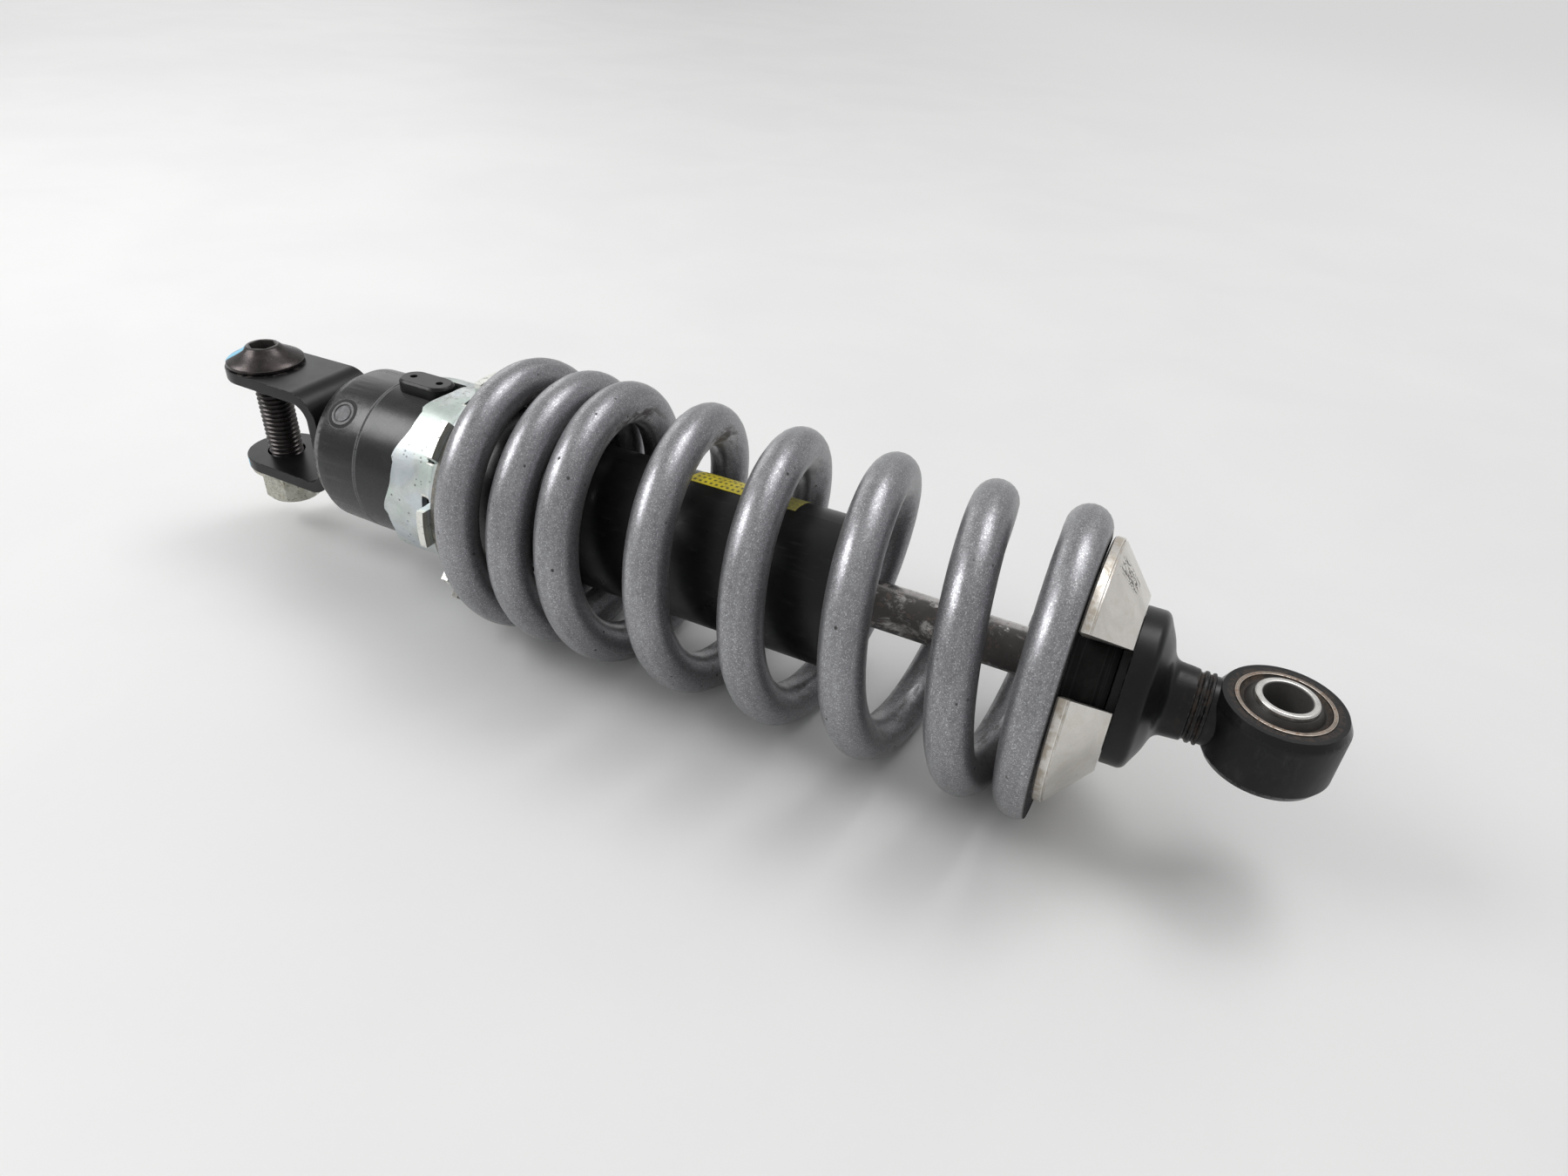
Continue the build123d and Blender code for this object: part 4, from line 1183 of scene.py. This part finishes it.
    def build(self) -> None:
        """Builds and dresses the clevis end."""
        low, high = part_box("pivot_bolt")
        seat = Vector(((low.x + high.x) / 2, 0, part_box("clevis_bracket")[1].z))
        clevis, top = seat.x / MM, seat.z / MM
        oxide = BlackOxide(clevis=clevis, seat=top)
        self.shop.piece(self.head(seat), oxide, "barrel", "pivot_bolt")
        self.shop.piece(self.shank(seat, seat.z - low.z), oxide, "barrel")
        self.shop.rounded("flange_nut", "zinc_nut_piece", 0.4, ZincNut(), "barrel")
        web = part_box("clevis_bracket")[1].x / MM - self.plate
        bracket = BracketPaint(clevis=clevis, web=web, gap=top - self.plate, seat=top)
        self.shop.rounded("clevis_bracket", "bracket_plate", 0.7, bracket, "barrel")
        self.shop.piece(self.weld(), WeldPaint(), "barrel", "weld_bead")


# ---- body of the damper
@dataclass
class DamperBody:
    """Cap, collar, stops, tube and what is inside the tube."""

    shop: Paintshop

    def build(self) -> None:
        """Rounds the outer pieces and dresses the rest."""
        paint = CapPaint(seam=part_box("end_cap")[1].x / MM)
        for node, name, width, finish in (
            ("end_cap", "cap_shell", 0.45, paint),
            ("stop_collar", "collar_shell", 0.4, paint),
            ("cam_stops", "stop_pads", 0.35, BlackPaint()),
            ("charge_plug", "plug_disc", 0.2, PlugPaint()),
        ):
            self.shop.rounded(node, name, width, finish, "barrel")
        self.shop.node(TubePaint(), "damper_tube")
        low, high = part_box("tube_label")
        self.shop.node(YellowFoil(ends=(low.x / MM, high.x / MM)), "tube_label")
        self.shop.node(Rubber(), "dust_wiper", "guide_oring", "rod_seal", "floating_oring")
        self.shop.node(Stock.SEAL.value, "guide_bushing", "piston_band")
        self.shop.node(Stock.INNER_ALUMINIUM.value, "rod_guide", "floating_piston")
        self.shop.node(BrightSteel(), "retaining_ring")


# ---- preload adjuster
@dataclass
class PreloadAdjuster:
    """Pressed cam ring and the washer that the spring turns on."""

    shop: Paintshop
    slots: Point = (7.7, 2.8)
    washer: Finish = ZincNut(
        name="zinc_washer", slot="bright_steel",
        light=(0.30, 0.29, 0.27), dark=(0.14, 0.135, 0.125), roughness=0.5,
    )

    def build(self) -> None:
        """Rounds the sheet's edges and plates both pieces."""
        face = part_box("preload_ring")[1].x / MM
        zinc = ZincPlate(slot_x=(face - self.slots[0], face - self.slots[1]))
        self.shop.rounded("preload_ring", "cam_ring", 0.3, zinc, "cam")
        self.shop.rounded("seat_washer", "tab_washer", 0.3, self.washer, "perch")


# ---- spring
@dataclass
class CoilSpring:
    """Right-handed spring wound from round wire, its ends ground flat.

    Sizes are in millimetres and places in turns. Whole turns are at the top and the front
    comes next. The gap law is the share of the free room that lies before each turn.
    """

    shop: Paintshop
    wire: float = 13.0
    first: float = 0.55
    closed: float = 1.0
    opened: float = 8.0
    last: float = 8.72
    split: float = 3.5
    grind_first: float = 0.7
    grind_last: float = 3.4
    lift_first: float = 1.4
    lift_last: float = 2.3
    points: int = 96
    sides: int = 10
    gap_law: tuple[Point, ...] = (
        (1.0, 0.0), (1.25, 0.003), (1.5, 0.04), (2.0, 0.074), (2.5, 0.078), (3.0, 0.084),
        (3.5, 0.175), (4.0, 0.277), (5.0, 0.471), (6.0, 0.664), (7.0, 0.855), (7.5, 0.95), (8.0, 1.0),
    )

    def __post_init__(self) -> None:
        """Reads the spring's room from its CAD node."""
        low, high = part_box("coil_spring")
        self.start, self.end = low.x / MM, high.x / MM
        self.mean = (high.z - low.z) / 2 / MM - self.wire / 2

    def share(self, turn: np.ndarray) -> np.ndarray:
        """Share of the free room before each turn, averaged over half a turn."""
        turns, shares = zip(*self.gap_law)
        return np.mean([np.interp(turn + step / 16, turns, shares) for step in range(-3, 4)], axis=0)

    def along(self, turn: np.ndarray) -> np.ndarray:
        """Place of the wire's centre along the shock at each turn."""
        first = self.start + self.wire / 2 - self.grind_first + self.lift_first
        last = self.end - self.wire / 2 + self.grind_last
        free = last - self.lift_last - first - self.wire * (self.opened - self.closed)
        wound = np.clip(turn, self.closed, self.opened) - self.closed
        place = first + self.wire * wound + free * self.share(turn)
        place -= self.lift_first * np.clip((self.closed - turn) / (self.closed - self.first), 0, None)
        return place + self.lift_last * np.sin(math.pi / 2 * np.clip((turn - self.opened) / 0.5, 0, 1))

    def wind(self, name: str, first: float, last: float) -> Thing:
        """Winds one length of wire.

        Args:
            name: the piece's name.
            first: turn where it starts.
            last: turn where it ends.

        Returns:
            The length as a closed mesh.
        """
        turn = np.linspace(first, last, round((last - first) * self.points) + 1)
        angle = 2 * math.pi * turn
        across, height = -self.mean * np.sin(angle), self.mean * np.cos(angle)
        places = np.stack([self.along(turn), across, height, np.full_like(turn, 1 / MM)], 1)
        curve = bpy.data.curves.new(name, "CURVE")
        curve.dimensions = "3D"
        curve.twist_mode = "MINIMUM"
        curve.bevel_depth = self.wire / 2 * MM
        curve.bevel_resolution = self.sides
        curve.use_fill_caps = True
        line = curve.splines.new("POLY")
        line.points.add(len(turn) - 1)
        line.points.foreach_set("co", (places * MM).astype(np.float32).ravel())
        obj = bpy.data.objects.new(name, curve)
        bpy.context.scene.collection.objects.link(obj)
        Bench.take(obj)
        bpy.ops.object.convert(target="MESH")
        obj = bpy.context.object
        for place, side in ((self.start, -1), (self.end, 1)):
            Bench.edit(obj)
            bpy.ops.mesh.bisect(
                plane_co=(place * MM, 0, 0), plane_no=(side, 0, 0),
                use_fill=True, clear_outer=True, threshold=1e-7,
            )
        Bench.clean(obj)
        Bench.smooth(obj, 50)
        return obj

    def unwind(self, obj: Thing) -> np.ndarray:
        """Stores where each point is along and round the wire.

        Args:
            obj: a length of the spring.

        Returns:
            The turn of each point.
        """
        spots = np.array([point.co for point in obj.data.vertices]) / MM
        part = np.arctan2(-spots[:, 1], spots[:, 2]) / (2 * math.pi)
        guesses = part[:, None] + np.arange(math.ceil(self.last) + 2)[None, :]
        off = np.abs(self.along(guesses) - spots[:, :1])
        off[(guesses < self.first - 0.1) | (guesses > self.last + 0.1)] = np.inf
        turn = guesses[np.arange(len(spots)), off.argmin(1)]
        out = np.hypot(spots[:, 1], spots[:, 2]) - self.mean
        wire = np.stack([turn * 2 * math.pi * self.mean, out, spots[:, 0] - self.along(turn)], 1)
        stored = obj.data.attributes.new("wire", "FLOAT_VECTOR", "POINT")
        stored.data.foreach_set("vector", wire.astype(np.float32).ravel())
        return turn

    def spot(self, turn: float) -> tuple[float, float, float]:
        """Place of one turn along the shock's axis, in metres."""
        return self.along(np.array([turn]))[0] * MM, 0, 0

    def build(self) -> None:
        """Winds the upper and lower lengths, paints them and hides the CAD spring."""
        paint = SpringPaint(ends=(self.start, self.end))
        edge = float(self.share(np.array([self.split]))[0])
        lengths = (
            ("spring_upper_coils", self.first, self.split, "perch", "barrel", 0.0, edge),
            ("spring_lower_coils", self.split, self.last, "barrel", "lower", edge, 1.0),
        )
        for name, first, last, near, far, low, high in lengths:
            obj = self.wind(name, first, last)
            turn = self.unwind(obj)
            obj.data.materials.append(self.shop.material(paint))
            self.spot(first)
            self.spot(last)
            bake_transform(obj)
            weight = np.clip((self.share(turn) - low) / (high - low), 0, 1).astype(np.float32)
            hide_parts("coil_spring")
            log.info("%s: %d faces", name, len(obj.data.polygons))


# ---- rod, seat and eye
@dataclass
class RodSide:
    """Rod, piston, bump stop, spring seat and bell. Sizes are in millimetres."""

    shop: Paintshop
    bump_hole: float = 7.1
    bump_waist: float = 1.5
    neck: float = 9.0

    def bump(self) -> Thing:
        """Turns the rubber bump stop with a soft waist and rounded lips."""
        low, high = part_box("bump_stop")
        length, outer = (high.x - low.x) / MM, high.z / MM
        half, waist = length / 2, self.bump_waist
        profile = [
            (self.bump_hole, 0.3), (outer - 4.2, 0.0), (outer - 2.6, 0.35), (outer - 1.0, 1.6),
            (outer - 0.2, 3.0), (outer, 4.4), (outer - 0.1, half - 3.2), (outer - waist, half - 1.0),
            (outer - waist, half + 1.0), (outer - 0.1, half + 3.2), (outer, length - 3.6),
            (outer - 0.5, length - 2.8), (outer - 0.5, length - 2.3), (outer, length - 1.8),
            (outer, length - 0.2), (self.bump_hole, length - 0.1), (self.bump_hole, 0.3),
        ]
        return Bench.lathe("bump_rubber", profile, Vector((low.x, 0, 0)), Vector((1, 0, 0)), 0.3)

    def build(self) -> None:
        """Builds and dresses the rod side."""
        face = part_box("spring_seat")[0].x / MM
        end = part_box("bell_bracket")[1].x / MM
        self.shop.node(HardChrome(), "piston_rod")
        self.shop.piece(self.bump(), Rubber(), "lower", "bump_stop")
        self.shop.rounded("spring_seat", "seat_cone", 0.22, TurnedAluminium(face=face), "lower")
        bell = BellPaint(neck=end - self.neck, end=end)
        self.shop.rounded("bell_bracket", "bell_shell", 0.3, bell, "lower")
        self.shop.node(Rubber(), "top_out_bumper")
        self.shop.node(BrightSteel(), "rebound_washer", "rebound_shims", "compression_shims", "piston_nut")
        self.shop.node(Stock.SINTER.value, "piston")


@dataclass
class EyeBush:
    """Eye with its steel shell, rubber and sleeve. Sizes are in millimetres."""

    shop: Paintshop
    rubber_outer: float = 11.2
    rubber_inner: float = 8.05

    def rubber(self) -> Thing:
        """Turns the bush rubber with a raised lip at the sleeve and a dip by the shell."""
        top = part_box("bush_rubber")[1].z / MM
        outer, inner = self.rubber_outer, self.rubber_inner
        upper = [
            (inner, top), (inner + 0.5, top), (inner + 1.0, top - 0.35), (inner + 1.5, top - 1.1),
            (inner + 1.9, top - 1.6), (outer - 0.8, top - 1.5), (outer - 0.3, top - 1.1), (outer, top - 0.7),
        ]
        profile = upper + [(radius, -height) for radius, height in reversed(upper)] + [upper[0]]
        return Bench.lathe("bush_filling", profile, Vector((0, 0, 0)), UP)

    def build(self) -> None:
        """Builds and dresses the eye."""
        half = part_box("eye_end")[1].z / MM
        self.shop.rounded("eye_end", "eye_ring", 0.35, EyePaint(half=half), "lower")
        shell = BrightSteel(
            name="rusty_steel", rust=0.85, shine=0.15, light=(0.32, 0.26, 0.21), dark=(0.15, 0.115, 0.09)
        )
        self.shop.rounded("bush_shell", "bush_tube", 0.25, shell, "lower")
        self.shop.piece(self.rubber(), BushRubber(), "lower", "bush_rubber")
        self.shop.rounded("inner_sleeve", "sleeve_tube", 0.2, BrightSteel(), "eye_sleeve")


# ---- studio
class LampKind(Enum):
    """How a lamp throws its light."""

    PANEL = "AREA"
    SKY = "SUN"


@dataclass(frozen=True)
class Lamp:
    """A soft light: a square panel with its side in metres, or a broad sky with its width in degrees."""

    name: str
    kind: LampKind
    place: tuple[float, float, float]
    size: float
    power: float


@dataclass(frozen=True)
class FloorPaint(Finish):
    """Pale matt table top."""

    name: str = "pale_floor"
    light: Colour = (0.715, 0.717, 0.712)
    dark: Colour = (0.685, 0.687, 0.684)
    slot: str = ""
    roughness: float = 0.55
    patch: float = 160.0
    grain: float = 3.0
    grain_height: float = 0.01
    grain_share: float = 0.1

    def layers(self, place: Place) -> list[Layer]:
        """Painted light: a lighter stretch towards the back and the eye's side."""
        # Painted light: the floor grows lighter towards the back and the eye's side.
        return [Layer((place.x + place.y).rise(250, 2000), (0.88, 0.88, 0.878), 0.6, 0.0)]


@dataclass
class Studio:
    """Floor, lights and camera."""

    shop: Paintshop
    eye: tuple[float, float, float] = (-0.0383, -0.2377, 0.1732)
    azimuth: float = 23.334
    elevation: float = 34.543
    roll: float = 4.323
    lens: float = 23.5006
    lamps: tuple[Lamp, ...] = (
        Lamp("key", LampKind.PANEL, (-1.15, -0.42, 0.88), 0.60, 8.0),
        Lamp("over", LampKind.PANEL, (0.05, 0.65, 1.25), 0.50, 3.4),
        Lamp("window", LampKind.PANEL, (-1.90, 1.20, 0.77), 1.10, 3.8),
        Lamp("sky_back", LampKind.SKY, (0.3, 0.7, 1.8), 40.0, 0.50),
    )
    world: float = 0.62

    def floor(self) -> None:
        """Lays the floor under the spring."""
        Bench.clear()
        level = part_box("coil_spring")[0].z - 0.1 * MM
        bpy.ops.mesh.primitive_grid_add(x_subdivisions=8, y_subdivisions=8, size=80, location=(0, 0, level))
        floor = bpy.context.object
        floor.name = "floor"
        floor.data.materials.append(self.shop.material(FloorPaint()))

    def light(self) -> None:
        """Hangs the lamps and sets the sky."""
        target = middle("coil_spring")
        for lamp in self.lamps:
            Bench.clear()
            bpy.ops.object.light_add(type=lamp.kind.value, location=lamp.place)
            made = bpy.context.object
            made.name = lamp.name
            if lamp.kind is LampKind.SKY:
                made.data.angle = math.radians(lamp.size)
            else:
                made.data.size = lamp.size
            made.data.energy = lamp.power
            made.rotation_euler = (target - Vector(lamp.place)).to_track_quat("-Z", "Y").to_euler()
        world = bpy.context.scene.world or bpy.data.worlds.new("sky")
        bpy.context.scene.world = world
        world.use_nodes = True
        sky = world.node_tree.nodes["Background"].inputs
        sky["Color"].default_value = (self.world, self.world, self.world, 1)
        sky["Strength"].default_value = 1.0
        bpy.context.scene.view_settings.view_transform = "Standard"

    def camera(self) -> None:
        """Stands the camera in front of the shock, above the spring's middle."""
        az, el, roll = (math.radians(a) for a in (self.azimuth, self.elevation, self.roll))
        back = Vector((math.sin(az) * math.cos(el), -math.cos(az) * math.cos(el), math.sin(el)))
        right = (-back).cross(UP).normalized()
        up = right.cross(-back)
        across = right * math.cos(roll) + up * math.sin(roll)
        over = up * math.cos(roll) - right * math.sin(roll)
        made = bpy.data.cameras.new("camera")
        made.lens, made.sensor_width, made.sensor_fit = self.lens, 36.0, "HORIZONTAL"
        made.clip_start, made.clip_end = 0.01, 20.0
        camera = bpy.data.objects.new("camera", made)
        bpy.context.scene.collection.objects.link(camera)
        turned = Matrix((across, over, back)).transposed().to_4x4()
        camera.matrix_world = Matrix.Translation(self.eye) @ turned
        bpy.context.scene.camera = camera

    def build(self) -> None:
        """Sets up the whole studio."""
        self.floor()
        self.light()
        self.camera()


def empty_scene() -> None:
    """Removes what the default scene holds beside the frame."""
    keep = {*frame["nodes"].values(), *frame["bodies"].values()}
    for obj in list(bpy.data.objects):
        if obj not in keep:
            bpy.data.objects.remove(obj)


def main() -> None:
    """Builds the shock's pieces in order, then the studio."""
    logging.basicConfig(level=logging.INFO, format="%(name)s %(message)s")
    empty_scene()
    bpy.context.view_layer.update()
    shop = Paintshop()
    for part in (ClevisEnd, DamperBody, PreloadAdjuster, CoilSpring, RodSide, EyeBush, Studio):
        part(shop).build()
    Bench.clear()


if __name__ == "__main__":
    main()
